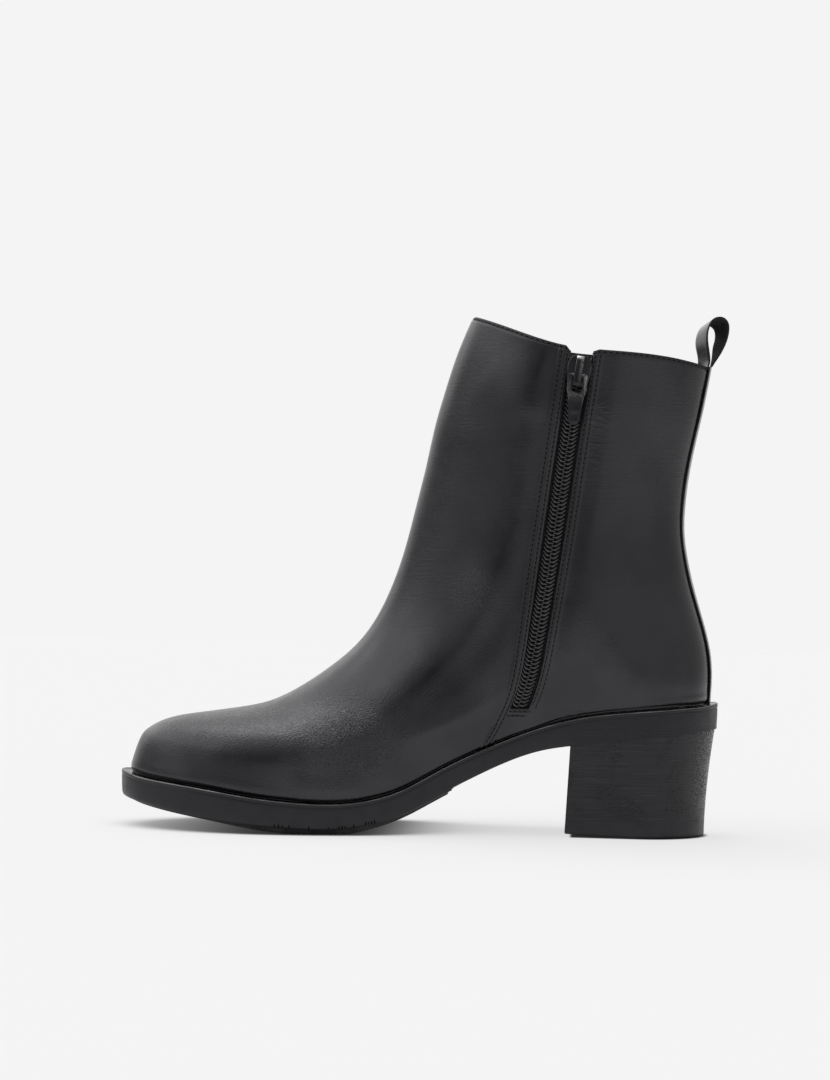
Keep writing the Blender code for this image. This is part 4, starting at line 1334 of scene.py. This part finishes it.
def build_fray(place, look):
    """Loose ends of yarn beside the slider, where the tape was cut."""
    bundle = Bundle()
    t = np.linspace(0.0, 1.0, 6)
    radii = FRAY_RADIUS * np.column_stack((1.0 - 0.4 * t, 1.0 - 0.4 * t))
    for k in range(FRAY_COUNT):
        hand = -1.0 if k % 2 else 1.0
        across = hand * (3.3 + 1.3 * math.sin(k * 2.3) ** 2)
        down = -6.2 + 0.15 * k * (0.6 if hand < 0.0 else 1.0)
        lean = 1.1 * math.sin(k * 4.1)
        rise = 0.9 * math.sin(k * 2.9)
        out = -0.9 + 0.75 * np.sin(math.pi * t) + 0.3 * math.sin(k * 1.3)
        points = in_frame(place, np.column_stack((across + t * lean, down + t * rise, out)))
        bundle.add(*tube(points, np.tile(place[3], (len(t), 1)), radii, 5))
    return bundle.piece("zip_tape_fray", look, "zip_cloth")


SLIDER_PLATE = (
    (-1.8, -6.6), (1.8, -6.6), (4.0, -5.2), (5.2, -2.6), (5.0, 1.5), (4.3, 5.6), (3.4, 6.8),
    (1.2, 6.8), (-1.2, 6.8), (-3.4, 6.8), (-4.3, 5.6), (-5.0, 1.5), (-5.2, -2.6), (-4.0, -5.2),
)
PLATE_LOW = 0.35
PLATE_HIGH = 1.4
# Section of the plate's edge from below: inset, height
PLATE_LEVELS = (
    (0.5, PLATE_LOW), (0.0, PLATE_LOW + 0.25), (0.0, 1.0), (0.25, 1.28), (0.8, PLATE_HIGH), (2.4, 1.62),
)
BRIDGE_WIDTH = 3.1
BRIDGE_PROFILE = (
    (-5.9, 1.1), (-5.9, 3.1), (-4.9, 4.2), (5.6, 4.2), (6.8, 3.1), (6.8, 1.1),
    (5.6, 1.1), (5.6, 2.7), (5.1, 3.3), (-4.2, 3.3), (-4.7, 2.7), (-4.7, 1.1),
)
BRIDGE_GROOVE = ((-1.05, -4.0), (-0.15, -4.0), (-0.15, 5.2), (-1.05, 5.2))
PIVOT_D = 2.0
PIVOT_N = 2.35
TAB_OUTSIDE = (
    (4.2, -0.5), (4.2, 6.8), (3.3, 9.2), (2.9, 13.0), (2.4, 19.4), (1.95, 20.6), (1.0, 21.1),
    (-1.0, 21.1), (-1.95, 20.6), (-2.4, 19.4), (-2.9, 13.0), (-3.3, 9.2), (-4.2, 6.8), (-4.2, -0.5),
)
TAB_WINDOW = ((2.3, 0.5), (2.3, 6.2), (1.4, 7.4), (-1.4, 7.4), (-2.3, 6.2), (-2.3, 0.5))
TAB_RECESS = ((1.5, 15.6), (1.5, 19.0), (-1.5, 19.0), (-1.5, 15.6))
TAB_PANEL = ((2.3, 9.6), (1.9, 14.6), (-1.9, 14.6), (-2.3, 9.6))
TAB_HALF_THICKNESS = 0.5
TAB_RECESS_DEPTH = 0.22
TAB_PANEL_DEPTH = 0.12


def slider_frame():
    v = v_for_zip_z(SLIDER_Z)
    p, n = patch(v, "zip", [0.0])
    above = Ring(v - 0.02)
    below = Ring(v + 0.02)
    down = below.at(below.zip) - above.at(above.zip)
    down = unit(down - n[0] * np.dot(down, n[0]))
    side = np.cross(down, n[0])
    return p[0], side * np.sign(side[0]), down, n[0]


def tab_frame(place):
    p, side, down, out = place
    c = math.cos(math.radians(TAB_TURN))
    s = math.sin(math.radians(TAB_TURN))
    return p + down * PIVOT_D + out * PIVOT_N, side * c - down * s, down * c + side * s, out


def in_frame(place, rows):
    """Points from (across, down, out) rows in a frame."""
    p, side, down, out = place
    rows = np.asarray(rows, float)
    return p + rows[:, :1] * side + rows[:, 1:2] * down + rows[:, 2:3] * out


def rounded(plan, count, corner=0.9):
    """Closed outline with its corners eased."""
    loop = np.array(plan + plan[:1], float)
    even = along_line(loop, np.linspace(0.0, lengths(loop)[-1], count, endpoint=False))
    passes = int(round(corner * count / lengths(loop)[-1])) + 1
    for _ in range(passes):
        even = (np.roll(even, 1, axis=0) + 2.0 * even + np.roll(even, -1, axis=0)) / 4.0
    return even


def inset_loop(loop, amount):
    area = np.sum(loop[:, 0] * np.roll(loop[:, 1], -1) - np.roll(loop[:, 0], -1) * loop[:, 1])
    return loop + left_normals(loop) * amount * np.sign(area)


def domed(plan, levels, count=72):
    """Solid over an outline; levels are (inset, height) from the bottom up."""
    loop = rounded(plan, count)
    loops = [np.column_stack((inset_loop(loop, inset), np.full(count, height))) for inset, height in levels]
    return fanned(loops)


def prism(plan, low, high):
    n = len(plan)
    verts = [(a, d, low) for a, d in plan] + [(a, d, high) for a, d in plan]
    return np.array(verts), [tuple(range(n)), tuple(range(n, 2 * n))] + walls(2, n)


def temporary(verts, faces):
    return new_object("temporary", new_mesh("temporary", [tuple(v) for v in verts], faces))


def carved(verts, faces, cutters, bevel, segments=3):
    """Solid less its cutters, with eased edges: points and faces."""
    body = temporary(verts, faces)
    tools = [temporary(*cutter) for cutter in cutters]
    for tool in tools:
        cut = body.modifiers.new("cut", "BOOLEAN")
        cut.operation = "DIFFERENCE"
        cut.object = tool
    ease = body.modifiers.new("ease", "BEVEL")
    ease.width = bevel
    ease.segments = segments
    ease.limit_method = "ANGLE"
    ease.angle_limit = math.radians(38.0)
    bpy.context.view_layer.update()
    mesh = bpy.data.meshes.new_from_object(body.evaluated_get(bpy.context.evaluated_depsgraph_get()))
    points = np.array([v.co[:] for v in mesh.vertices])
    polygons = [tuple(f.vertices) for f in mesh.polygons]
    for obj in [body] + tools:
        bpy.data.objects.remove(obj)
    bpy.data.meshes.remove(mesh)
    return points, polygons


def build_slider(place, look):
    bundle = Bundle()
    bundle.add(*domed(SLIDER_PLATE, PLATE_LEVELS))
    verts, faces = prism(BRIDGE_PROFILE, -BRIDGE_WIDTH / 2.0, BRIDGE_WIDTH / 2.0)
    verts, faces = carved(verts[:, (2, 0, 1)], faces, [prism(BRIDGE_GROOVE, 3.55, 6.0)], 0.2)
    bundle.add(verts, faces)
    local = np.concatenate(bundle.verts)
    top_end = smooth((local[:, 2] - 2.6) / 0.8) * (1.0 - smooth((local[:, 1] + 5.2) / 0.8))
    rim = 0.3 * smooth((np.abs(local[:, 0]) - 4.7) / 0.4) * smooth((local[:, 2] - 0.9) / 0.3)
    bundle.verts = [in_frame(place, local)]
    return bundle.piece("zip_slider_body", look, "zip_metal", replaces=("zip_slider",),
                        masks={"worn": np.maximum(top_end, rim * 0.5)}, sharp=40.0)


def build_tab(place, look):
    t = TAB_HALF_THICKNESS
    outside = [tuple(p) for p in rounded(TAB_OUTSIDE, 64, 0.6)]
    window = [tuple(p) for p in rounded(TAB_WINDOW, 40, 0.5)]
    recess = prism(TAB_RECESS, t - TAB_RECESS_DEPTH, 3.0)
    panel = prism(TAB_PANEL, t - TAB_PANEL_DEPTH, 3.0)
    cutters = [prism(window, -3.0, 3.0), recess, panel]
    verts, faces = carved(*prism(outside, -t, t), cutters, 0.14, 2)
    edge = np.abs(verts[:, 0]) > 0.93 * np.interp(verts[:, 1], (-0.5, 6.8, 9.2, 19.4), (4.2, 4.2, 3.4, 2.6))
    worn = np.maximum(0.12 * edge, 0.5 * (verts[:, 1] < -0.3)) * (verts[:, 2] > 0.2)
    return piece("zip_tab", in_frame(tab_frame(place), verts), faces, look, "zip_metal", body="pull_tab",
                 replaces=("zip_pull_tab",), masks={"worn": worn}, sharp=35.0)


# Back strap and pull loop

FLAT_POINTS = 13
EDGE_POINTS = 5
STRAP_SHOWN = range(FLAT_POINTS + EDGE_POINTS, 2 * FLAT_POINTS + EDGE_POINTS - 1)


def strap_section():
    """Flat faces and eased edges: offsets across the strap and out from its inner face."""
    half = STRAP_WIDTH / 2.0
    r = STRAP_THICKNESS / 2.0
    side = 0.25
    flat = np.linspace(-half + side, half - side, FLAT_POINTS)
    turn = np.linspace(-math.pi / 2.0, math.pi / 2.0, EDGE_POINTS + 2)[1:-1]
    low = np.column_stack((flat, np.zeros_like(flat)))
    right = np.column_stack((half - side + side * np.cos(turn), r + r * np.sin(turn)))
    high = np.column_stack((flat[::-1], np.full_like(flat, 2.0 * r)))
    left = np.column_stack((-half + side - side * np.cos(turn), r - r * np.sin(turn)))
    return np.concatenate((low, right, high, left))


def build_strap(satin, flesh):
    section = strap_section()
    across, out = section[:, 0], section[:, 1]
    crown = 0.06 * (1.0 - (across / (STRAP_WIDTH / 2.0)) ** 2)
    loops = []
    run = []
    for v in np.linspace(STRAP_END_V, 0.0, 112):
        p, n = patch(v, "back", across)
        loops.append(p + n * (STRAP_SEAT + out + crown)[:, None])
        middle, normal = patch(v, "back", [0.0])
        run.append((middle[0] + normal[0] * (STRAP_SEAT + STRAP_THICKNESS / 2.0))[[0, 2]])
    legs = []
    inside = []
    for v in np.linspace(*LOOP_LEG_V, 14):
        p, n = patch(v, "back", across)
        legs.append(p - n * (UPPER_WALL + GAP + out)[:, None])
        middle, normal = patch(v, "back", [0.0])
        inside.append((middle[0] - normal[0] * (UPPER_WALL + GAP + STRAP_THICKNESS / 2.0))[[0, 2]])
    line = path([run[-6], run[-1], *LOOP_ROWS, inside[0], inside[4]])(np.linspace(0.0, 1.0, 400))
    begin = int(np.argmin(np.linalg.norm(line - run[-1], axis=1)))
    end = int(np.argmin(np.linalg.norm(line - inside[0], axis=1)))
    even = along_line(line[begin:end], np.linspace(0.0, lengths(line[begin:end])[-1], 110))
    direction = unit(np.gradient(even, axis=0))
    for k in range(2, len(even) - 2):
        x, z = even[k]
        angle, from_z, rise = LOOP_TWISTS[0] if k < len(even) / 2 else LOOP_TWISTS[1]
        turn = math.radians(angle * float(smooth((z - from_z) / rise)))
        tilted = smooth((z - LOOP_TILT_FROM_Z) / LOOP_TILT_RISE)
        tilt = math.tan(math.radians(LOOP_TILT)) * float(tilted)
        away = np.array((direction[k][1], -direction[k][0]))
        height = (out - STRAP_THICKNESS / 2.0)[:, None] * away
        dx = x + height[:, 0] - LOOP_CENTRE_X
        turned_x = LOOP_CENTRE_X + dx * math.cos(turn) - across * math.sin(turn)
        turned_y = dx * math.sin(turn) + across * math.cos(turn)
        loops.append(np.column_stack((turned_x, turned_y, z + height[:, 1] - across * tilt)))
    loops += legs
    n = len(section)
    verts, faces = closed(loops, [tuple(range(n))])
    strap = piece("back_strap_loop", verts, faces, flesh, "strap_webbing", replaces=("back_strap",))
    strap.data.materials.append(satin)
    for face in strap.data.polygons[:(len(loops) - 1) * n]:
        face.material_index = int(face.index % n in STRAP_SHOWN)
    return strap


# Sole, heel and insole

# Section of the sole's edge from the top down: inset, depth below the top
EDGE_TOP_ROWS = (
    (5.0, 0.0), (0.75, 0.0), (0.55, 0.02), (0.42, 0.08), (0.12, 0.38), (0.03, 0.52), (0.0, 0.75), (0.04, 1.1),
    (0.16, 1.25), (0.24, 1.4), (0.2, 1.6), (0.1, 1.8), (0.06, 2.1), (0.06, 3.0), (0.1, 4.5),
)
# The same, down to the bottom: inset, height above the bottom
EDGE_LOW_ROWS = ((0.2, 3.4), (0.3, 1.8), (0.45, 0.9), (0.75, 0.35), (1.4, 0.0), (4.5, 0.0))


LIP_CURL_TOE = 0.8
LIP_CURL_HEEL = 0.9


def lip_curl(x):
    """The lip lifts a little at its toe and heel ends."""
    toe = LIP_CURL_TOE * smooth((TOE_TIP_X + 9.0 - x) / 8.0)
    return toe + LIP_CURL_HEEL * smooth((x - HEEL_END_X + 7.0) / 6.0)


def build_outsole(look):
    x = np.sort(np.concatenate((sole_stations(230), (SHANK_STEP_X - 0.15, SHANK_STEP_X + 0.25))))
    over_heel = smooth((outline(x, 0.0)[:, :1] - BREAST_TOP_X + 1.0) / 2.0)
    loops = []
    for inset, below in EDGE_TOP_ROWS:
        curl = 1.0 - smooth((inset - 0.1) / 1.0) if below < 1.0 else 0.0
        loop = outline(x, inset)
        loops.append(lift_to(loop, lambda q, drop=below, up=curl: sole_top(q) - drop + up * lip_curl(q)))
    for inset, above in EDGE_LOW_ROWS:
        seated = inset + (min(inset, 0.25) - inset) * over_heel
        loops.append(lift_to(outline(x, seated), lambda q, rise=above: sole_bottom(q) + rise))
    n = len(loops[0])
    verts, faces = closed(loops, ladder(n))
    lip = np.repeat([1.0] * 5 + [0.5, 0.2] + [0.0] * (len(loops) - 7), n)
    # Rim rows: the lip's chamfer, lightened in the edge look as a painted highlight.
    rim = np.repeat([0.0] * 3 + [1.0, 1.0] + [0.0] * (len(loops) - 5), n)
    seat = np.tile(over_heel[:, 0], len(loops)) * (1.0 - lip)
    return piece("sole_body", verts, faces, look, "sole_edge", replaces=("outsole",),
                 masks={"lip": lip, "rim": rim, "seat": seat}, sharp=50.0)


EDGE_NICK_X = (
    -59.4, -57.7, -56.1, -53.3, -45.1, -37.0, -32.6, -31.3, -30.1, -26.5, -21.6, -20.4, -19.2, -17.9,
)
EDGE_NICK_RISE = 0.95
EDGE_NICK_HALF_WIDTH = 0.26


def build_edge_nicks(look):
    """Small cuts along the lower edge of the sole under the ball, dark with painted shade."""
    loop = outline(sole_stations(160), 0.36)
    half = len(loop) // 2 + 1
    bundle = Bundle()
    for rows, side in ((loop[:half], -1.0), (loop[half - 1:][::-1], 1.0)):
        for k, x in enumerate(EDGE_NICK_X):
            y = np.interp((x, x + 0.2), rows[:, 0], rows[:, 1])
            normal = unit(np.array((side * (y[0] - y[1]), side * 0.2, 0.0)))
            spot = np.array((x, y[0], float(sole_bottom(x)) + EDGE_NICK_RISE))
            half_height = 0.75 + 0.3 * math.sin(2.1 * k)
            up = np.array((0.0, 0.0, 1.0))
            bundle.add(*needle_hole(spot, normal, up, half_height, EDGE_NICK_HALF_WIDTH))
    return bundle.piece("sole_edge_nicks", look, "sole_edge")


TREAD_STATIONS = sole_stations(200)
TREAD_BALL_RUN = 52.0
TREAD_SEAT_X = SHANK_STEP_X - 0.3
GROOVE_PITCH = 4.4
GROOVE_WIDTH = 1.5
GROOVE_DEPTH = 0.6
GROOVE_MARGIN = 2.4
NICK_X = np.array((
    -63.0, -59.2, -57.4, -53.9, -49.8, -48.2, -45.1, -40.6,
    -38.9, -35.0, -31.7, -29.9, -26.0, -23.3, -19.4, -17.2,
))
NICK_WIDTH = 0.7
NICK_DEPTH = 0.55


def tread_bottom(x):
    near = 1.0 - smooth(np.abs(x - TREAD_BALL_X) / TREAD_BALL_RUN)
    drop = TREAD_DROP + (TREAD_BALL_DROP - TREAD_DROP) * near
    return np.maximum(sole_bottom(np.minimum(x, TREAD_SEAT_X)) - drop, 0.0)


def knees(starts, width, ease):
    """Stations at both sides of cuts of one width."""
    return (starts[:, None] + np.array((-ease, 0.0, width, width + ease))).ravel()


def in_cut(x, starts, width):
    return np.max((x[:, None] > starts - 0.01) & (x[:, None] < starts + width + 0.01), axis=1)


def tread_stations():
    """Stations along the tread with the depth of the grooves and of the nicks in its edge."""
    grooves = np.arange(TOE_TIP_X + 12.0, TREAD_END_X - 6.0, GROOVE_PITCH)
    plain = TREAD_STATIONS[TREAD_STATIONS < TREAD_END_X - 0.5]
    cuts = np.concatenate((knees(grooves, GROOVE_WIDTH, 0.2), knees(NICK_X, NICK_WIDTH, 0.15)))
    x = np.unique(np.round(np.concatenate((plain, cuts, (TREAD_END_X,))), 3))
    return x, GROOVE_DEPTH * in_cut(x, grooves, GROOVE_WIDTH), NICK_DEPTH * in_cut(x, NICK_X, NICK_WIDTH)


def build_tread(look):
    """Forefoot wear layer: plain edge with small nicks at the ball, grooves across underneath."""
    x, groove, nick = tread_stations()
    rest = TREAD_STATIONS[TREAD_STATIONS > TREAD_END_X + 2.0]
    count = len(x)
    rows = (
        (0.0, None),
        (0.0, nick),
        (0.5, nick * 0.5),
        (GROOVE_MARGIN, groove * 0.0),
        (GROOVE_MARGIN + 0.3, groove),
    )
    loops = []
    for inset, depth in rows:
        whole = outline(np.concatenate((x, rest)), TREAD_INSET + inset)
        inner = whole[:count].copy()
        outer = whole[len(whole) - count + 1:].copy()
        inner[-1, 0] = TREAD_END_X - inset
        outer[0, 0] = TREAD_END_X - inset
        loop = np.concatenate((inner, outer))
        top = sole_bottom(np.minimum(loop[:, 0], TREAD_SEAT_X)) - 0.02
        if depth is None:
            z = top
        else:
            z = np.minimum(tread_bottom(loop[:, 0]) + np.concatenate((depth, depth[::-1][:-1])), top - 0.05)
        loops.append(np.column_stack((loop, z)))
    n = len(loops[0])
    rungs = [(0, 1, n - 1)] + [(i, i + 1, n - i - 1, n - i) for i in range(1, count - 1)]
    verts, faces = closed(loops, rungs)
    return piece("forefoot_tread_rubber", verts, faces, look, "tread_rubber", replaces=("forefoot_tread",),
                 sharp=25.0)


def heel_loop(h, z_at, inset, side=0.0, count=60, across=24):
    """Closed outline of the heel at share h of its height: breast, inner side, back, outer side."""
    start = BREAST_TOP_X + (BREAST_FLOOR_X - BREAST_TOP_X) * h + inset
    end = HEEL_END_X - HEEL_INSET - HEEL_BACK_LEAN * (1.0 - (1.0 - h) ** 1.8) - inset
    q = 1.0 - (1.0 - np.linspace(0.0, 1.0, count)) ** 1.9
    x = start + (end - start) * q
    top_x = BREAST_TOP_X + (HEEL_END_X - BREAST_TOP_X) * q
    t = (top_x - TOE_TIP_X) / (HEEL_END_X - TOE_TIP_X)
    sides = []
    for half in sole_half_widths(t):
        width = np.maximum(half - HEEL_INSET - inset + side, 0.0) * (1.0 - HEEL_TAPER * h)
        width[-1] = 0.0
        sides.append(width)
    inner = np.stack((x, -sides[0]), axis=1)
    outer = np.stack((x, sides[1]), axis=1)[::-1][1:]
    k = np.linspace(0.0, 1.0, across + 1)[1:-1]
    yb = sides[1][0] - (sides[0][0] + sides[1][0]) * k
    breast = np.stack((start + BREAST_HOLLOW * np.sin(math.pi * k), yb), axis=1)
    loop = np.concatenate((inner, outer, breast))
    return np.column_stack((loop, z_at(loop[:, 0])))


SCUFF_BACK_X = 112.0
SCUFF_FLOOR_Z = 8.0
SCUFF_CORNER_X = 62.0
SEAT_FLARE = 0.7
SEAT_LAP = 0.35
LIFT_GAP = 0.02


def heel_piece(name, loops, look, slot, replaced):
    verts, faces = fanned(loops)
    back = smooth((verts[:, 0] - SCUFF_BACK_X) / 6.0) * smooth((verts[:, 2] - SCUFF_FLOOR_Z) / 6.0)
    corner = 0.5 * (1.0 - smooth((verts[:, 0] - SCUFF_CORNER_X) / 1.5))
    scuff = np.maximum(back, corner)
    return piece(name, verts, faces, look, slot, replaces=(replaced,), masks={"scuff": scuff}, sharp=40.0)


def build_heel(look):
    def height(share):
        return lambda x: (sole_bottom(x) + SEAT_LAP) * (1.0 - share) + (LIFT_HEIGHT + LIFT_GAP) * share

    rows = [(q, 0.0, SEAT_FLARE * (1.0 - smooth(q / 0.7))) for q in np.linspace(0.0, 0.985, 28)]
    rows += [(0.994, 0.0, 0.0), (1.0, 0.03, 0.0)]
    loops = [heel_loop(q * HEEL_LIFT_AT, height(q), inset, side) for q, inset, side in rows]
    return heel_piece("heel_stack_block", loops, look, "heel_stack", "heel_stack")


def lift_wear(x):
    """The lift stands on its back part; its front edge is worn a little clear of the floor."""
    return LIFT_WEAR * np.clip((LIFT_WEAR_X - x) / (LIFT_WEAR_X - BREAST_FLOOR_X), 0.0, 1.0)


# Heel's end piece from the top down: share of its height, inset
LIFT_ROWS = (
    (0.0, 0.03), (0.03, 0.0), (0.08, 0.0), (0.5, 0.0), (0.86, 0.0), (0.95, 0.15), (0.985, 0.4), (1.0, 0.9),
)


def build_lift(look):
    loops = []
    for q, inset in LIFT_ROWS:
        h = HEEL_LIFT_AT + (1.0 - HEEL_LIFT_AT) * q
        loops.append(heel_loop(h, lambda x, up=q: LIFT_HEIGHT * (1.0 - up) + up * lift_wear(x), inset))
    return heel_piece("heel_lift_rubber", loops, look, "tread_rubber", "heel_top_lift")


# Footbed from its underside up: inset, share of its thickness
INSOLE_ROWS = ((0.0, 0.0), (0.0, 0.75), (0.12, 0.92), (0.5, 1.0))


def build_insole(look):
    x = sole_stations(110)
    loops = []
    for inset, share in INSOLE_ROWS:
        loop = outline(x, INSOLE_INSET + inset)
        loops.append(lift_to(loop, lambda q, up=share: sole_top(q) + GAP + INSOLE_THICKNESS * up))
    verts, faces = closed(loops, ladder(len(loops[0])))
    return piece("insole_footbed", verts, faces, look, "insole_leather", replaces=("insole",), sharp=50.0)


# Studio

CAMERA_DISTANCE = 1400.0
CAMERA_YAW = 3.0
CAMERA_ROLL = 1.0
CAMERA_HEIGHT = 124.2
CAMERA_SIDE = -4.73
CAMERA_LENS = 108.45
BACKGROUND = 0.905
FLOOR = 0.25
FLOOR_GLOW = 0.67
FLOOR_SHADE_GLOW = 0.02
FLOOR_CELL = 0.0015
SHADE_LEAN = 0.4
SHADE_REACH_SOLE = 1.8
SHADE_REACH_HEEL = -4.0
SHADE_BLUR = 1.8
SHADE_BLUR_GROWTH = 1.2
SHADE_FADE = 11.0


def build_camera():
    yaw = math.radians(CAMERA_YAW)
    roll = math.radians(CAMERA_ROLL)
    right = Vector((math.cos(yaw), math.sin(yaw), 0.0))
    back = Vector((math.sin(yaw), -math.cos(yaw), 0.0))
    up = Vector((0.0, 0.0, 1.0))
    data = bpy.data.cameras.new("camera")
    data.sensor_fit = "VERTICAL"
    data.sensor_height = 36.0
    data.lens = CAMERA_LENS
    camera = new_object("camera", data)
    place = back * CAMERA_DISTANCE + right * CAMERA_SIDE + up * CAMERA_HEIGHT
    turned_right = right * math.cos(roll) + up * math.sin(roll)
    turned_up = up * math.cos(roll) - right * math.sin(roll)
    axes = Matrix((turned_right, turned_up, back)).transposed()
    camera.matrix_world = Matrix.Translation(place * MM) @ axes.to_4x4()
    bpy.context.scene.camera = camera


def floor_shade(x, y):
    """Painted shadow: how much of the floor's glow is taken away under the boot, most where the sole is close
    above it.
    """
    loop = outline(sole_stations(160), 0.0)
    half = len(loop) // 2 + 1
    above = np.maximum(sole_bottom(np.clip(x, TOE_TIP_X, BREAST_TOP_X)) - TREAD_DROP, 0.0)
    above = np.where(x > BREAST_TOP_X, 0.0, above)
    y = y - SHADE_LEAN * above
    inner_y = np.interp(x, loop[:half, 0], loop[:half, 1])
    outer_y = np.interp(x, loop[half - 1:, 0][::-1], loop[half - 1:, 1][::-1])
    within = (x > TOE_TIP_X) & (x < HEEL_END_X) & (y > inner_y) & (y < outer_y)
    near = np.full(x.shape, 1e9)
    for px, py in loop:
        near = np.minimum(near, np.hypot(x - px, y - py))
    depth = np.where(within, near, -near)
    reach = np.where(x > BREAST_TOP_X, SHADE_REACH_HEEL, SHADE_REACH_SOLE)
    blur = SHADE_BLUR + SHADE_BLUR_GROWTH * above
    return smooth(0.5 + (depth + reach) / (2.0 * blur)) / (1.0 + (above / SHADE_FADE) ** 1.5)


def floor_look():
    look = Look("pale_floor", (FLOOR, FLOOR, FLOOR), 0.9, Specular_IOR_Level=0.0, Emission_Color=WHITE)
    look.roughen(60.0, 0.85, 0.95)
    # Painted shadow: the glow drops from FLOOR_GLOW to FLOOR_SHADE_GLOW where the shade mask is high.
    look.set("Emission Strength", look.spread(look.mask("shade"), 0.0, 1.0, FLOOR_GLOW, FLOOR_SHADE_GLOW))
    return look.material


def build_floor():
    """Pale glowing floor with a painted shadow close under the boot."""
    fine_x = np.arange(-0.16, 0.1601, FLOOR_CELL)
    fine_y = np.arange(-0.07, 0.0901, FLOOR_CELL)
    xs = np.concatenate(((-0.9, -0.4), fine_x, (0.4, 0.9)))
    ys = np.concatenate(((-1.1, -0.3), fine_y, (0.3, 1.0, 2.5)))
    grid_x, grid_y = np.meshgrid(xs, ys)
    verts = np.stack((grid_x.ravel(), grid_y.ravel(), np.zeros(grid_x.size)), axis=1)
    n = len(xs)
    corners = [r * n + c for r in range(len(ys) - 1) for c in range(n - 1)]
    faces = [(k, k + 1, k + n + 1, k + n) for k in corners]
    mesh = bpy.data.meshes.new("floor")
    mesh.from_pydata(verts.tolist(), [], faces)
    shade = floor_shade(grid_x.ravel() / MM - SHIFT[0], grid_y.ravel() / MM - SHIFT[1])
    mesh.attributes.new("shade", "FLOAT", "POINT").data.foreach_set("value", shade.astype(np.float32))
    mesh.materials.append(floor_look())
    floor = new_object("floor", mesh)


# Studio walls and soft boxes: direction they lie in, cosines where they fade in, brightness.
STUDIO_ROWS = (
    ((-0.17, 0.30, 0.94), 0.94, 0.985, 2.95),
    ((-0.73, -0.13, 0.67), 0.885, 0.945, 0.98),
    ((-0.69, 0.43, 0.59), 0.90, 0.96, 0.81),
    ((-0.55, 0.79, 0.28), 0.87, 0.97, 0.45),
    ((-0.27, 0.74, 0.62), 0.87, 0.97, 0.40),
    ((-0.39, -0.79, 0.47), 0.87, 0.97, -0.24),
    ((0.88, 0.47, 0.07), 0.70, 0.95, 0.07),
    ((0.74, -0.62, 0.24), 0.74, 0.95, 0.20),
    ((-0.70, -0.63, 0.34), 0.90, 0.97, 0.15),
    ((-0.75, -0.40, 0.53), 0.90, 0.97, 0.30),
    ((-0.16, -0.44, 0.88), 0.85, 0.97, 0.29),
    ((-0.30, -0.10, 0.95), 0.88, 0.98, 0.30),
    ((0.25, 0.95, 0.20), 0.80, 0.95, 0.40),
)
STUDIO_BASE = 0.40


def build_world():
    world = bpy.data.worlds.new("studio")
    world.use_nodes = True
    tree = world.node_tree
    studio = Nodes(tree)
    shown = tree.nodes["Background"]
    shown.inputs["Color"].default_value = (BACKGROUND, BACKGROUND, BACKGROUND, 1.0)
    where = studio.node("ShaderNodeTexCoord", {}).outputs["Generated"]
    total = STUDIO_BASE
    for direction, low, high, bright in STUDIO_ROWS:
        pair = {0: where, 1: Vector(direction).normalized()}
        dot = studio.node("ShaderNodeVectorMath", pair, operation="DOT_PRODUCT").outputs["Value"]
        total = studio.math("ADD", studio.spread(dot, low, high, 0.0, bright), total)
    lit = studio.node("ShaderNodeBackground", {"Color": WHITE, "Strength": total}).outputs["Background"]
    seen = studio.node("ShaderNodeLightPath", {}).outputs["Is Camera Ray"]
    mix = studio.node("ShaderNodeMixShader", {"Fac": seen, 1: lit, 2: shown.outputs["Background"]})
    tree.links.new(mix.outputs["Shader"], tree.nodes["World Output"].inputs["Surface"])
    bpy.context.scene.world = world


def build_studio():
    build_camera()
    build_floor()
    build_world()
    bpy.context.scene.view_settings.view_transform = "Standard"


def build_boot():
    lining = lining_look()
    metal = metal_look()
    grid = UpperGrid()
    build_upper(grid, leather_look())
    build_lining(grid, lining)
    build_stitches(grid, thread_look(), painted_shade_look())
    build_coil(coil_look())
    build_tape(cloth_look())
    place = slider_frame()
    build_fray(place, yarn_look())
    build_slider(place, metal)
    build_tab(place, metal)
    build_strap(strap_look(), flesh_look())
    build_edge_nicks(painted_shade_look())
    build_outsole(edge_look())
    build_tread(rubber_look())
    build_heel(heel_look())
    build_lift(lift_look())
    build_insole(lining)


build_studio()
build_boot()
